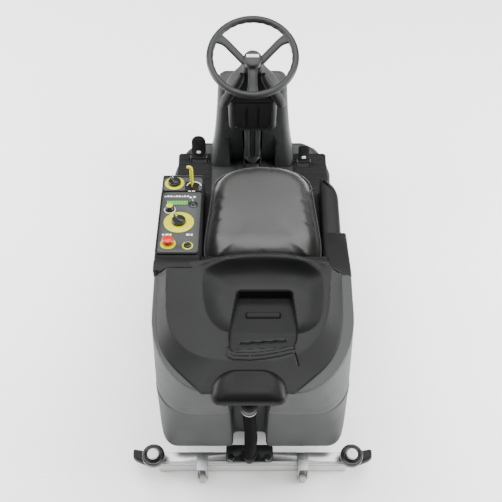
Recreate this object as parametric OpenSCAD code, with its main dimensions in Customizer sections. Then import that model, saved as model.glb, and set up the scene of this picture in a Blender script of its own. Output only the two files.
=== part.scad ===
// Ride-on floor scrubber: three wheels, two disc brushes under the seat, a squeegee behind.
// Origin on the floor under the middle of the machine. +Y is forward, +X the driver's right, +Z up.

/* [Body] */
// Width of the tank body
body_w = 690; // [670:1:720]
// Distance of the rear wall behind the origin
body_rear = 692; // [680:1:694]
// Height of the floor of the footwell
floor_z = 222; // [218:1:236]
// Height of the joint between the two tanks
split_z = 558; // [545:1:575]
// Height of the recovery tank's rim
rim_z = 842; // [834:1:852]
// Wall of the moulded tanks
tank_wall = 8; // [6:0.5:10]
// Wall of the thinner covers
cover_wall = 5; // [4:0.5:7]
// Gap left between neighbouring covers
seam = 4; // [2:0.5:6]

/* [Wheels] */
// Diameter of the steered drive wheel
front_d = 200; // [180:1:204]
// Width of the drive wheel's tyre
front_tyre_w = 70; // [60:1:74]
// Diameter of the rear wheels
rear_d = 300; // [270:1:310]
// Width of the rear tyres
rear_tyre_w = 70; // [60:1:76]
// Distance between the middles of the rear tyres
track = 520; // [500:1:530]
// Distance of the rear axle behind the origin
rear_axle_y = 420; // [400:1:430]
// Distance of the steering axis ahead of the origin
steer_y = 655; // [640:1:662]

/* [Steering] */
// Diameter of the steering wheel over its rim
wheel_d = 338; // [280:1:400]
// Thickness of the rim
rim_t = 26; // [20:1:32]
// Lean of the column towards the driver
column_tilt = 14; // [12:0.5:15]
// Length of the column from its joint to the middle of the rim
column_l = 866; // [850:1:900]

/* [Seat] */
// Width of the cushion
seat_w = 442; // [400:1:444]
// Thickness of the cushion
seat_t = 90; // [75:1:108]
// Sideways place of the seat's middle
seat_x = 38; // [34:1:42]
// How far the seat slides forward
seat_travel = 60; // [40:1:70]

/* [Scrubbing] */
// Diameter of each disc brush
brush_d = 320; // [260:1:322]
// Distance between the two brush spindles
brush_pitch = 326; // [322:1:334]
// Distance of the spindles ahead of the origin
deck_y = 40; // [34:1:44]
// Length of the squeegee's steel channel
squeegee_w = 736; // [610:1:760]
// Diameter of the suction hose
hose_d = 46; // [38:1:50]
// Diameter of the deflector rollers
roller_d = 88; // [70:1:100]

/* [Hidden] */
$fn = 64;

run = 0.05;            // radial clearance of a running fit
air = 0.4;             // gap between parts that face each other
rest = 0.3;            // gap under a part that is set down on another
half_w = body_w / 2;
front_y = 783;         // front edge of the footboard
bay_front = 215;       // front wall of the tank body
body_bottom = 190;     // lower edge of the tank body
bay_half = 200;        // half width of the battery bay
bay_rear = -340;
tray_z = 242;          // top of the battery tray
under_z = 246;         // underside of the tank over the brush deck
arch_gap = 16;         // between a rear tyre and its arch
rear_x = -12;          // sideways place of the hose, its channel and the rear cap
channel_half = 62;     // half width of the hose channel low down
channel_top_half = 75; // and high up
channel_y = -634;      // floor of the hose channel
lid_front = -306;      // front edge of the recovery tank's lid
console_rear = lid_front + 2 + seam;
seat_left = -187;      // the console's seat recess
seat_right = 263;
seat_floor = 606;
panel_tilt = 13.8;     // slope of the control panel, down to the front
panel_top = 787;       // height of the panel's face where it passes the origin
panel_t = 3;
panel_d = panel_t / cos(panel_tilt);
joint_z = 285;         // centre of the steering joint
ball_d = 36;
shaft_d = 18;
stub_d = 50;           // fork's stub in its bearing
front_axle_d = 20;
rear_axle_d = 30;
link_pin_d = 12;
arm_pin_d = 16;
link_y = 115;          // one lift arm, from its chassis pivot to its deck pivot
link_z = -65;
link_front_y = -5;     // chassis pivots of the two lift arms
link_rear_y = -215;
link_pivot_z = 175;
arm_y = -480;          // pivot of the squeegee arm
arm_z = 170;
channel_front = -680;  // squeegee's steel channel
channel_rear = -718;
channel_low = 66;
channel_high = 104;
nozzle_y = -699;
hose_y = channel_y - 14 - hose_d / 2 - 9;  // hose under its elbow, clear of the channel
caster_x = 197;
caster_y = -752;
caster_d = 48;
roller_x = 384;
roller_y = -708;
roller_low = 126;
roller_h = 34;
hinge_y = -772;        // lid hinge
hinge_z = 832;
latch_y = -555;
latch_z = 546;
cap_x = -275;          // fresh water filler
cap_z = 430;

// Points of a rounded rectangle
function quarter(cx, cy, r, a, n) =
    [for (i = [0 : n]) [cx + r * cos(a + 90 * i / n), cy + r * sin(a + 90 * i / n)]];
function rounded(x0, x1, y0, y1, r, n = 5) = concat(
    quarter(x1 - r, y1 - r, r, 0, n), quarter(x0 + r, y1 - r, r, 90, n),
    quarter(x0 + r, y0 + r, r, 180, n), quarter(x1 - r, y0 + r, r, 270, n));
// Plan of the tank body: straight at the front, elliptical corners behind
function tank_plan(w, y0, y1, rx, ry, n = 9) = concat(
    [[w, y1], [-w, y1]],
    [for (i = [0 : n]) [-(w - rx) - rx * cos(90 * i / n), y0 + ry - ry * sin(90 * i / n)]],
    [for (i = [n : -1 : 0]) [(w - rx) + rx * cos(90 * i / n), y0 + ry - ry * sin(90 * i / n)]]);
// Two half circles joined by straights
function stadium(r, half, y, n = 20) = concat(
    [for (i = [0 : n]) [half + r * sin(180 * i / n), y - r * cos(180 * i / n)]],
    [for (i = [0 : n]) [-half - r * sin(180 * i / n), y + r * cos(180 * i / n)]]);
// Outline of the footboard, pulled in by k
function board_plan(k) = [
    [346 - k, 219 + k], [357 - k, 600 - k], [334 - k, 690 - k], [292 - k, 750 - k],
    [236 - k, front_y - k], [-236 + k, front_y - k], [-292 + k, 750 - k], [-334 + k, 690 - k],
    [-357 + k, 600 - k], [-346 + k, 219 + k]];
function panel_z(y) = panel_top - y * tan(panel_tilt);

module block(x0, x1, y0, y1, z0, z1) {
    translate([x0, y0, z0]) cube([x1 - x0, y1 - y0, z1 - z0]);
}
module slab(x0, x1, y0, y1, z0, z1, r) {
    translate([0, 0, z0]) linear_extrude(z1 - z0) polygon(rounded(x0, x1, y0, y1, r));
}
// A profile drawn in (y, z), running along X from x0 to x1
module along_x(x0, x1, pts) {
    translate([x0, 0, 0]) rotate([90, 0, 90]) linear_extrude(x1 - x0) polygon(pts);
}
// A round bar along X
module bar_x(x0, x1, y, z, d) {
    translate([x0, y, z]) rotate([0, 90, 0]) cylinder(d = d, h = x1 - x0);
}
module bar_y(x, y0, y1, z, d) {
    translate([x, y0, z]) rotate([-90, 0, 0]) cylinder(d = d, h = y1 - y0);
}
module bar_z(x, y, z0, z1, d) {
    translate([x, y, z0]) cylinder(d = d, h = z1 - z0);
}
module in_column() {
    translate([0, steer_y, joint_z]) rotate([column_tilt, 0, 0]) children();
}
module on_panel(x, y) {
    translate([x, y, panel_z(y)]) rotate([-panel_tilt, 0, 0]) children();
}
module both_sides() {
    children();
    mirror([1, 0, 0]) children();
}

// ---- chassis ----
module chassis_frame() {
    rail_in = 60;
    rail_out = 98;
    color("DimGray") {
        difference() {
            union() {
                both_sides() {
                    block(rail_in, rail_out, -628, 212, 200, 238);
                    block(135, 170, 180, 776, 178, 214);
                    // hangers for the lift arms, the squeegee arm and the rear axle
                    for (y = [link_front_y, link_rear_y]) {
                        block(50, 64, y - 14, y + 14, link_pivot_z - 14, 210);
                    }
                    block(50, 64, arm_y - 16, arm_y + 16, arm_z - 16, 210);
                    block(72, 90, -rear_axle_y - 30, -rear_axle_y + 30, 128, 204);
                }
                block(-170, 170, 180, 250, 178, 213);
                block(-170, 170, 764, 776, 178, 213);
                block(-rail_out, rail_out, -628, -592, 200, 238);
                block(-bay_half + 2, bay_half - 2, bay_rear + 2, bay_front - 12, 238, tray_z);
                bar_x(-track / 2 + 38, track / 2 - 38, -rear_axle_y, rear_d / 2, 44);
                bar_x(-track / 2 - 46, track / 2 + 46, -rear_axle_y, rear_d / 2, rear_axle_d);
                both_sides() bar_x(track / 2 + 38 + air, track / 2 + 46, -rear_axle_y, rear_d / 2, 46);
                for (y = [link_front_y, link_rear_y]) {
                    bar_x(-56, 56, y, link_pivot_z, link_pin_d);
                }
                bar_x(-56, 56, arm_y, arm_z, arm_pin_d);
            }
            // lashing eyes, open below
            both_sides() bar_z(152, 724, 170, 220, 17);
        }
        // steering bearing on the footboard
        difference() {
            union() {
                bar_z(0, steer_y, floor_z, floor_z + 10, 138);
                bar_z(0, steer_y, floor_z + 10, floor_z + 30, 80);
            }
            bar_z(0, steer_y, floor_z - 1, floor_z + 31, stub_d + 2 * run);
        }
        both_sides() block(34 + rest, 40, steer_y - 28, steer_y + 20, floor_z + 10, floor_z + 104);
    }
}

module battery_pack() {
    unit_x = 178;
    unit_y = 255;
    color("DarkSlateGray") for (sx = [-1, 1], y0 = [-330, -68]) {
        x0 = sx < 0 ? -2 - unit_x : 2;
        slab(x0, x0 + unit_x, y0, y0 + unit_y, tray_z, tray_z + 250, 8);
        slab(x0 + 4, x0 + unit_x - 4, y0 + 4, y0 + unit_y - 4, tray_z + 250, tray_z + 270, 8);
        for (dy = [35, unit_y - 35]) {
            bar_z(x0 + 40, y0 + dy, tray_z + 270, tray_z + 284, 18);
        }
    }
}

module footboard() {
    lip = 6;
    color("Gray") {
        difference() {
            translate([0, 0, floor_z - 60]) linear_extrude(60) polygon(board_plan(0));
            translate([0, 0, floor_z - 61]) linear_extrude(53) polygon(board_plan(lip));
            bar_z(0, steer_y, floor_z - 20, floor_z + 1, 126);
            // the frame's rails run in under the rear edge
            block(-174, 174, 218, 226, floor_z - 61, floor_z - 8);
        }
        pedal_foot(-246, 673, 34);
        pedal_foot(236, 650, 27);
    }
}
// Two lugs with a pin between them, standing on the footboard
module pedal_foot(x, y, half) {
    for (s = [-1, 1]) {
        block(x + s * (half + 3) - 3, x + s * (half + 3) + 3, y - 9, y + 9, floor_z, floor_z + 32);
    }
    bar_x(x - half - 3, x + half + 3, y, floor_z + 22, 8);
}

module foot_mats() {
    color("DarkSlateGray") difference() {
        both_sides() {
            slab(187, 341, 226, 712, floor_z, floor_z + 4, 14);
            for (i = [0 : 15]) {
                slab(197, 331, 240 + 29 * i, 252 + 29 * i, floor_z + 4, floor_z + 6, 4);
            }
        }
        // cut away round the pedals' feet
        block(-290, -202, 660, 686, floor_z - 1, floor_z + 9);
        block(199, 273, 637, 663, floor_z - 1, floor_z + 9);
    }
}

module tower_shape(k) {
    hull() {
        slab(-183 + k, 183 - k, 640 + k, front_y - k, floor_z - (k > 0 ? 1 : 0), floor_z + 2, 30);
        in_column() slab(-137 + k, 137 - k, 42 + k, 134 - k, 560 - k, 562 - k, 26);
    }
}
module tower_recess(k) {
    in_column() block(-104 - k, 104 + k, -200, 58 + k, -110, 700);
}
module front_tower() {
    color("Gray") difference() {
        tower_shape(0);
        tower_recess(0);
        difference() {
            tower_shape(cover_wall);
            tower_recess(cover_wall);
        }
    }
}

module column_tube() {
    color("Black") in_column() difference() {
        union() {
            translate([0, 0, 6]) cylinder(d = 68, h = 554);
            translate([0, 0, 558]) cylinder(d = 50, h = 254 - rest);
        }
        translate([0, 0, 5]) cylinder(d = 60, h = 535);
        translate([0, 0, 560]) cylinder(d = 40, h = 232);
        cylinder(d = shaft_d + 2 * run, h = 900);
    }
}

module column_housing() {
    color("Black") in_column() difference() {
        slab(-98, 98, -46, 50, 335, 604, 22);
        translate([0, 0, 334]) cylinder(d = 68, h = 262);
        slab(-92, 92, -40, 44, 334, 596, 16);
        translate([0, 0, 590]) cylinder(d = 50 + 2 * rest, h = 20);
    }
    // bracket to the tube
    color("Black") in_column() difference() {
        slab(-92, 92, -40, 44, 420, 430, 16);
        translate([0, 0, 419]) cylinder(d = 68, h = 12);
    }
}

module column_cover() {
    color("Black") in_column() difference() {
        hull() {
            slab(-127, 127, -60, 46, 612, 618, 24);
            slab(-104, 104, -56, 44, 690, 692, 22);
            slab(-37, 37, -34, 34, 816, 818, 16);
        }
        hull() {
            slab(-122, 122, -55, 41, 611, 613, 20);
            slab(-99, 99, -51, 39, 690, 692, 18);
            slab(-32, 32, -29, 29, 811, 812, 12);
        }
        cylinder(d = shaft_d + 8, h = 900);
        // shallow field on the side facing the driver
        hull() {
            slab(-86, 86, -70, -57, 622, 626, 5);
            slab(-20, 20, -70, -42, 780, 782, 5);
        }
    }
}

// ---- tanks ----
module tank_cuts(g) {
    // battery bay, open below
    block(-bay_half - g, bay_half + g, bay_rear - g, bay_front - 10 + g, 100, split_z + 1);
    // room for the frame and the squeegee arm
    block(-bay_half - 5 - g, bay_half + 5 + g, -630 - g, bay_front + 1, 100, tray_z - 4 + rest + g);
    // room for the brush deck
    block(-half_w - 1, half_w + 1, -165 - g, bay_front + 1, 100, under_z + g);
    both_sides() bar_x(track / 2 - 55 - g, half_w + 1, -rear_axle_y, rear_d / 2, rear_d + 2 * arch_gap + 2 * g);
    block(rear_x - channel_half - g, rear_x + channel_half + g, -800, channel_y + g, 100, split_z + 1);
    both_sides() block(half_w - 17 - g, half_w + 1, latch_y - 15 - g, latch_y + 15 + g, latch_z - 16 - g, split_z + 1);
}
// The rear corners tighten towards the floor
module body_hull(w) {
    hull() {
        translate([0, 0, body_bottom + w]) linear_extrude(1)
            polygon(tank_plan(half_w - w, -body_rear + w, bay_front - w, 66 - w, 70 - w));
        translate([0, 0, split_z - w - 1]) linear_extrude(1)
            polygon(tank_plan(half_w - w, -body_rear + w, bay_front - w, 110 - w, 120 - w));
    }
}
module fresh_water_tank() {
    w = tank_wall;
    color("Gray") difference() {
        union() {
            body_hull(0);
            bar_y(cap_x, bay_front - 1, bay_front + 14, cap_z, 64);
        }
        tank_cuts(0);
        difference() {
            body_hull(w);
            tank_cuts(w);
        }
        bar_y(cap_x, bay_front - 20, bay_front + 20, cap_z, 52);
    }
    color("Gray") both_sides() bar_y(half_w - 9, latch_y - 16, latch_y + 16, latch_z, 6);
}

module recovery_hull(w, z0, z1) {
    hull() {
        translate([0, 0, z0]) linear_extrude(1)
            polygon(tank_plan(half_w - w, -702 + w, lid_front + 2 - w, 130 - w, 150 - w));
        translate([0, 0, z1 - 1]) linear_extrude(1)
            polygon(tank_plan(half_w - 5 - w, -742 + w, lid_front + 2 - w, 215 - w, 290 - w));
    }
}
module recovery_cuts(g) {
    block(rear_x - channel_top_half - g, rear_x + channel_top_half + g, -800, channel_y - 14 + g,
        split_z - 1, rim_z - 18 + g);
    both_sides() block(half_w - 19 - g, half_w + 1, latch_y - 15 - g, latch_y + 15 + g, split_z - 1, split_z + 56 + g);
}
module recovery_tank() {
    w = tank_wall;
    color("Gray") difference() {
        union() {
            recovery_hull(0, split_z, rim_z);
            // hinge lugs
            for (s = [-1, 1]) {
                block(rear_x + s * 89 - 5, rear_x + s * 89 + 5, hinge_y, -728, hinge_z - 8, hinge_z + 6);
                bar_x(rear_x + s * 89 - 5, rear_x + s * 89 + 5, hinge_y, hinge_z, 16);
                bar_x(rear_x + s * 82 - 12, rear_x + s * 82 + 12, hinge_y, hinge_z, 8);
            }
        }
        recovery_cuts(0);
        difference() {
            recovery_hull(w, split_z + w, rim_z - w);
            recovery_cuts(w);
        }
        // opening under the lid
        translate([0, 0, rim_z - 20]) linear_extrude(30)
            polygon(tank_plan(290, -628, lid_front - 14, 150, 200));
    }
}

module seat_console() {
    w = cover_wall;
    color("Black") difference() {
        union() {
            // left arm, under the controls
            along_x(-half_w, seat_left, [[console_rear, split_z + rest], [bay_front, split_z + rest],
                [bay_front, panel_z(bay_front) - 16], [200, panel_z(200) - panel_d],
                [-222, panel_z(-222) - panel_d], [-262, 858], [console_rear, 858]]);
            // right arm
            along_x(seat_right, half_w, [[console_rear, split_z + rest], [bay_front, split_z + rest],
                [bay_front, 702], [196, 720], [-60, 742], [-240, 806], [console_rear, 820]]);
            // shelf behind the seat and floor under it
            along_x(seat_left - 1, seat_right + 1, [[console_rear, split_z + rest], [-196, split_z + rest],
                [-196, 770], [-214, 806], [console_rear, 826]]);
            block(seat_left - 1, seat_right + 1, console_rear, bay_front, split_z + rest, seat_floor);
        }
        // hollow below
        along_x(-half_w + w, seat_left - w, [[console_rear + w, split_z], [bay_front - w, split_z],
            [bay_front - w, panel_z(bay_front) - 16 - w], [200, panel_z(200) - panel_t - w],
            [-222, panel_z(-222) - panel_t - w], [-262, 858 - w], [console_rear + w, 858 - w]]);
        along_x(seat_right + w, half_w - w, [[console_rear + w, split_z], [bay_front - w, split_z],
            [bay_front - w, 702 - w], [196, 720 - w], [-60, 742 - w], [-240, 806 - w],
            [console_rear + w, 820 - w]]);
        block(seat_left + w, seat_right - w, console_rear + w, bay_front - w, split_z, seat_floor - w);
        along_x(seat_left + w, seat_right - w, [[console_rear + w, split_z], [-196 - w, split_z],
            [-196 - w, 770 - w], [-218, 806 - w], [console_rear + w, 826 - w]]);
        on_panel(-268, -62) translate([0, 0, -20]) cylinder(d = 14, h = 30);
        on_panel(-305, 5) translate([0, 0, -20]) cylinder(d = 12, h = 30);
        on_panel(-221, 34) translate([0, 0, -20]) cylinder(d = 22, h = 30);
        on_panel(-300, -171) translate([0, 0, -20]) cylinder(d = 26, h = 30);
        on_panel(-230, -180) translate([0, 0, -20]) cylinder(d = 30, h = 30);
        on_panel(-297, 153) translate([0, 0, -20]) cylinder(d = 14, h = 30);
        on_panel(-230, 134) block(-17, 17, -24, 19, -20, 10);
        // outer corners at the front
        for (x = [-half_w, half_w]) {
            translate([x, bay_front, 0]) rotate([0, 0, 45]) block(-14, 14, -14, 14, split_z, 900);
        }
    }
    // seat rails
    color("Black") for (s = [-1, 1]) {
        block(seat_x + s * 130 - 12, seat_x + s * 130 + 12, -130, 190, seat_floor, seat_floor + 9);
    }
}

// ---- controls ----
module panel_hole(x, y, d) {
    on_panel(x, y) translate([0, 0, -12]) cylinder(d = d, h = 30);
}
module control_panel() {
    t = panel_t;
    color("DimGray") difference() {
        union() {
            on_panel(-265, -55) slab(-73, 73, -165, 165, -t, 0, 12);
            on_panel(-265, 152) slab(-73, 73, -39, 37, -t, 0, 12);
            // lock barrel
            on_panel(-221, 34) translate([0, 0, -14]) cylinder(d = 20, h = 18);
        }
        panel_hole(-268, -62, 10 + 2 * run);
        panel_hole(-305, 5, 8 + 2 * run);
        panel_hole(-221, 34, 6 + 2 * run);
        panel_hole(-300, -171, 22 + 2 * run);
        panel_hole(-230, -180, 26 + 2 * run);
        panel_hole(-297, 153, 10 + 2 * run);
        on_panel(-230, 134) block(-17, 17, -24, 19, -10, 10);
    }
}
module display() {
    color("Black") on_panel(-280, 43) difference() {
        slab(-39, 39, -20, 20, 0, 4, 5);
        slab(-33, 33, -14, 14, 3, 5, 3);
    }
    color("YellowGreen") on_panel(-280, 43) slab(-32.6, 32.6, -13.6, 13.6, 3, 3.6, 3);
}
module ring_disc(d, hole, h) {
    difference() {
        cylinder(d = d, h = h);
        translate([0, 0, -1]) cylinder(d = hole, h = h + 2);
    }
}
module dial_discs() {
    color("Gold") {
        on_panel(-268, -62) ring_disc(110, 12, 3);
        on_panel(-297, 153) ring_disc(74, 12, 2);
        on_panel(-300, -171) ring_disc(56, 24, 3);
        on_panel(-230, -180) ring_disc(40, 28, 2);
    }
}
module lever_gate() {
    color("Black") on_panel(-230, 134) {
        difference() {
            union() {
                slab(-24, 24, -30, 26, 0, 3, 8);
                for (s = [-1, 1]) {
                    block(s * 12 - 3, s * 12 + 3, -12, 10, -62, 1);
                }
                rotate([0, 90, 0]) translate([52, 0, -12]) cylinder(d = 8, h = 24);
            }
            block(-5, 5, -21, 13, -8, 4);
        }
    }
}
module squeegee_lever() {
    color("Gold") on_panel(-230, 134) translate([0, 0, -52]) rotate([-6, 0, 0]) difference() {
        union() {
            translate([-7, 0, 0]) rotate([0, 90, 0]) cylinder(d = 18, h = 14);
            block(-3, 3, -5, 5, 0, 140);
            slab(-8, 8, -9, 9, 66, 128, 6);
            translate([-38, -9, 128]) cube([46, 18, 14]);
        }
        translate([-10, 0, 0]) rotate([0, 90, 0]) cylinder(d = 8 + 2 * run, h = 20);
    }
}
module selector_knob() {
    color("Black") on_panel(-268, -62) {
        translate([0, 0, -16]) cylinder(d = 10, h = 22);
        translate([0, 0, 3 + air]) cylinder(d = 44, h = 12);
        slab(-7, 7, -24, 24, 3 + air + 12, 30, 5);
    }
}
module info_knob() {
    color("Black") on_panel(-305, 5) {
        translate([0, 0, -14]) cylinder(d = 8, h = 20);
        translate([0, 0, air]) cylinder(d = 34, h = 12);
        translate([0, 0, 12]) cylinder(d = 20, h = 5);
    }
}
module water_knob() {
    color("Black") on_panel(-297, 153) {
        translate([0, 0, -16]) cylinder(d = 10, h = 22);
        translate([0, 0, 2 + air]) cylinder(d = 50, h = 10);
        slab(-8, 8, -25, 25, 12, 26, 6);
    }
}
module emergency_stop() {
    color("Red") on_panel(-300, -171) {
        translate([0, 0, -14]) cylinder(d = 22, h = 28);
        translate([0, 0, 13]) cylinder(d = 42, h = 10);
        translate([0, 0, 23]) cylinder(d1 = 42, d2 = 30, h = 6);
    }
}
module horn_button() {
    color("Black") on_panel(-230, -180) {
        translate([0, 0, -10]) cylinder(d = 26, h = 17);
        translate([0, 0, 7]) cylinder(d1 = 26, d2 = 18, h = 2);
    }
}
module operator_key() {
    color("Silver") on_panel(-221, 34) {
        translate([0, 0, -10]) cylinder(d = 6, h = 16);
        block(-2, 2, -11, 11, 5, 27);
    }
}

// ---- steering ----
module steering_fork() {
    color("DimGray") difference() {
        union() {
            bar_z(0, steer_y, 219, floor_z + 30 + air, stub_d);
            bar_z(0, steer_y, floor_z + 30 + air, joint_z - 3, stub_d + 4);
            slab(-58, 58, steer_y - 24, steer_y + 24, 204, 219, 10);
            both_sides() slab(46, 56, steer_y - 24, steer_y + 24, 84, 206, 4);
            bar_x(-56, 56, steer_y, front_d / 2, front_axle_d);
            both_sides() bar_x(56, 60, steer_y, front_d / 2, 34);
        }
        translate([0, steer_y, joint_z]) sphere(d = ball_d + 2 * air);
    }
}
module drive_hub() {
    color("Silver") difference() {
        union() {
            bar_x(-front_tyre_w / 2 - 1, front_tyre_w / 2 + 1, steer_y, front_d / 2, front_d - 76);
            bar_x(-front_tyre_w / 2 - 8, front_tyre_w / 2 + 8, steer_y, front_d / 2, 70);
        }
        bar_x(-60, 60, steer_y, front_d / 2, front_axle_d + 2 * run);
    }
}
module tyre(x0, x1, y, d, bore) {
    c = 8;
    r = d / 2;
    translate([0, y, r]) rotate([0, 90, 0]) rotate_extrude($fn = 96)
        polygon([[bore / 2, x0], [r - c, x0], [r, x0 + c], [r, x1 - c], [r - c, x1], [bore / 2, x1]]);
}
module front_tyre() {
    color("Black") tyre(-front_tyre_w / 2, front_tyre_w / 2, steer_y, front_d, front_d - 76);
}
module rear_rim(s) {
    x0 = track / 2 - rear_tyre_w / 2;
    x1 = track / 2 + rear_tyre_w / 2;
    d = rear_d - 90;
    translate([s < 0 ? -track : 0, 0, 0]) difference() {
        union() {
            bar_x(x0, x1, -rear_axle_y, rear_d / 2, d);
            bar_x(x0 - 2, x1 + 3, -rear_axle_y, rear_d / 2, 70);
        }
        // dish on both faces
        for (x = [x0 - 1, x1 - 24]) {
            difference() {
                bar_x(x, x + 25, -rear_axle_y, rear_d / 2, d - 20);
                bar_x(x - 1, x + 26, -rear_axle_y, rear_d / 2, 70);
            }
        }
        bar_x(x0 - 20, x1 + 20, -rear_axle_y, rear_d / 2, rear_axle_d + 2 * run);
    }
}
module rear_rim_left() {
    color("LightGray") rear_rim(-1);
}
module rear_rim_right() {
    color("LightGray") rear_rim(1);
}
module rear_tyre_left() {
    color("Black") tyre(-track / 2 - rear_tyre_w / 2, -track / 2 + rear_tyre_w / 2, -rear_axle_y, rear_d, rear_d - 90);
}
module rear_tyre_right() {
    color("Black") tyre(track / 2 - rear_tyre_w / 2, track / 2 + rear_tyre_w / 2, -rear_axle_y, rear_d, rear_d - 90);
}
module steering_shaft() {
    color("Silver") in_column() {
        sphere(d = ball_d);
        cylinder(d = shaft_d, h = column_l - 40);
    }
}
module steering_wheel() {
    ring = (wheel_d - rim_t) / 2;
    drop = 26;
    reach = ring - 30;
    color("DimGray") in_column() translate([0, 0, column_l]) {
        rotate_extrude($fn = 96) translate([ring, 0]) circle(d = rim_t, $fn = 32);
        translate([0, 0, -40]) cylinder(d = 66, h = 20);
        translate([0, 0, -20]) cylinder(d1 = 66, d2 = 52, h = 8);
        for (a = [30, 150, 270]) {
            rotate([0, 0, a]) translate([26, 0, -drop - 4]) rotate([0, -atan((drop + 2) / reach), 0])
                block(0, reach + 6, -14, 14, -4, 5);
        }
    }
}

// ---- pedals ----
module pedal(x, y, half, length) {
    translate([x, y, floor_z + 22]) rotate([58, 0, 0]) difference() {
        union() {
            translate([-half + 2, 0, 0]) rotate([0, 90, 0]) cylinder(d = 15, h = 2 * half - 4);
            slab(-half, half, 4, length, -2, 7, 10);
            block(-6, 6, 6, length - 20, -7, 0);
        }
        translate([-half - 10, 0, 0]) rotate([0, 90, 0]) cylinder(d = 8 + 2 * run, h = 2 * half + 20);
    }
}
module brake_pedal() {
    color("Black") pedal(-246, 673, 32, 106);
}
module accelerator_pedal() {
    color("Black") pedal(236, 650, 25, 78);
}

// ---- seat ----
module seat_plan(k, z, h) {
    a = seat_w / 2 - k;
    translate([seat_x, 0, z]) linear_extrude(h) polygon(concat(
        [[-a + 42, -164 + k], [-a + 14, -152 + k], [-a, -122], [-a, -60], [-a + 26, 196 - k]],
        [for (i = [-5 : 5]) [(a - 26) * sin(i * 15.6), 196 + 98 * cos(i * 15.6) - k]],
        [[a - 26, 196 - k], [a, -60], [a, -122], [a - 14, -152 + k], [a - 42, -164 + k]]));
}
module seat_cushion() {
    base = seat_floor + 34;
    color("Black") hull() {
        seat_plan(16, base, 4);
        seat_plan(0, base + 26, seat_t - 54);
        seat_plan(26, base + seat_t - 4, 4);
    }
}
module seat_pan() {
    low = seat_floor + 9 + air;
    color("DimGray") {
        slab(seat_x - 190, seat_x + 190, -140, 190, low + 4, seat_floor + 34, 20);
        for (s = [-1, 1]) {
            block(seat_x + s * 130 - 20, seat_x + s * 130 + 20, -128, 128, low, low + 5);
            for (e = [-1, 1]) {
                block(seat_x + s * 130 + e * 16.4 - 4, seat_x + s * 130 + e * 16.4 + 4, -128, 128,
                    seat_floor + 1, low + 1);
            }
        }
    }
}

// ---- lid ----
module lid_outer(k) {
    intersection() {
        translate([0, 0, rim_z + air]) linear_extrude(200)
            polygon(tank_plan(309 - k, -736 + k, -246 - k, 200 - k, 270 - k));
        along_x(-400, 400, [[-760, rim_z - 1], [-760, 872 - k], [-600, 884 - k], [-340, 906 - k],
            [-262, 912 - k], [-246 - k, 900 - k], [-290 - k, 872 - k], [lid_front - k, 856], [lid_front - k, rim_z - 1]]);
    }
}
module lid_tray(g) {
    along_x(-68 - g, 156 + g, [[-328 + g, 802 - g], [-328 + g, 1000], [-602 - g, 1000], [-602 - g, 852 - g]]);
}
module lid_bowl(k) {
    translate([0, 0, -k]) hull() {
        translate([40, -420, 888]) cylinder(d = 120, h = 60);
        translate([40, -560, 888]) cylinder(d = 100, h = 60);
        translate([60, -330, 940]) cylinder(d = 160, h = 2);
        translate([66, -560, 940]) cylinder(d = 300, h = 2);
        translate([-40, -470, 940]) cylinder(d = 220, h = 2);
        translate([120, -430, 940]) cylinder(d = 240, h = 2);
    }
}
module tank_lid() {
    w = cover_wall;
    color("Black") difference() {
        union() {
            lid_outer(0);
            intersection() {
                lid_tray(w);
                block(-400, 400, -800, -280, 700, 880);
            }
        }
        lid_tray(0);
        lid_bowl(0);
        difference() {
            translate([0, 0, -w]) intersection() {
                lid_outer(w);
                block(-400, 400, -800, -284, 700, 1000);
            }
            lid_tray(w);
            lid_bowl(w + 1);
        }
        // the crest stands only in the middle
        block(-400, -178, lid_front, -200, 800, 1000);
        block(240, 400, lid_front, -200, 800, 1000);
        // room for the rear cap
        block(rear_x - 125, rear_x + 125, -800, -664, rim_z, 1000);
    }
}
module rear_cap() {
    color("Black") {
        difference() {
            hull() {
                slab(rear_x - 122, rear_x + 122, -784, -667, rim_z + air, rim_z + 10, 34);
                slab(rear_x - 104, rear_x + 104, -772, -674, 878, 888, 28);
            }
            slab(rear_x - 78, rear_x + 78, -756, -694, 884, 890, 18);
            slab(rear_x - 112, rear_x + 112, -774, -677, rim_z, 874, 26);
        }
        for (s = [-1, 1]) {
            difference() {
                union() {
                    bar_x(rear_x + s * 77 - 6, rear_x + s * 77 + 6, hinge_y, hinge_z, 18);
                    block(rear_x + s * 77 - 6, rear_x + s * 77 + 6, hinge_y - 6, hinge_y + 6, hinge_z, 868);
                }
                bar_x(rear_x + s * 82 - 13, rear_x + s * 82 + 13, hinge_y, hinge_z, 8 + 2 * run);
            }
        }
    }
}
module fill_cap() {
    color("Black") difference() {
        union() {
            bar_y(cap_x, bay_front + air, bay_front + 24, cap_z, 78);
            block(cap_x - 6, cap_x + 6, bay_front + 20, bay_front + 32, cap_z - 34, cap_z + 34);
        }
        bar_y(cap_x, bay_front, bay_front + 14 + air, cap_z, 64 + 2 * run);
    }
}
module tank_latch(s) {
    x = half_w - 9;
    mirror([s < 0 ? 1 : 0, 0, 0]) difference() {
        union() {
            bar_y(x, latch_y - 12, latch_y + 12, latch_z, 11);
            block(x - 3, x + 3, latch_y - 12, latch_y + 12, latch_z, latch_z + 56);
            block(x - 6, x + 6, latch_y - 12, latch_y + 12, latch_z + 44, latch_z + 62);
        }
        bar_y(x, latch_y - 20, latch_y + 20, latch_z, 6 + 2 * run);
    }
}
module tank_latch_left() {
    color("Gold") tank_latch(-1);
}
module tank_latch_right() {
    color("Gold") tank_latch(1);
}

// ---- inside ----
module suction_turbine() {
    color("DimGray") {
        bar_z(-266, -150, split_z, split_z + 6, 136);
        bar_z(-266, -150, split_z + 6, split_z + 80, 122);
        bar_z(-266, -150, split_z + 80, split_z + 130, 84);
        bar_y(-266, -280, -200, split_z + 44, 44);
    }
}

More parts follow.
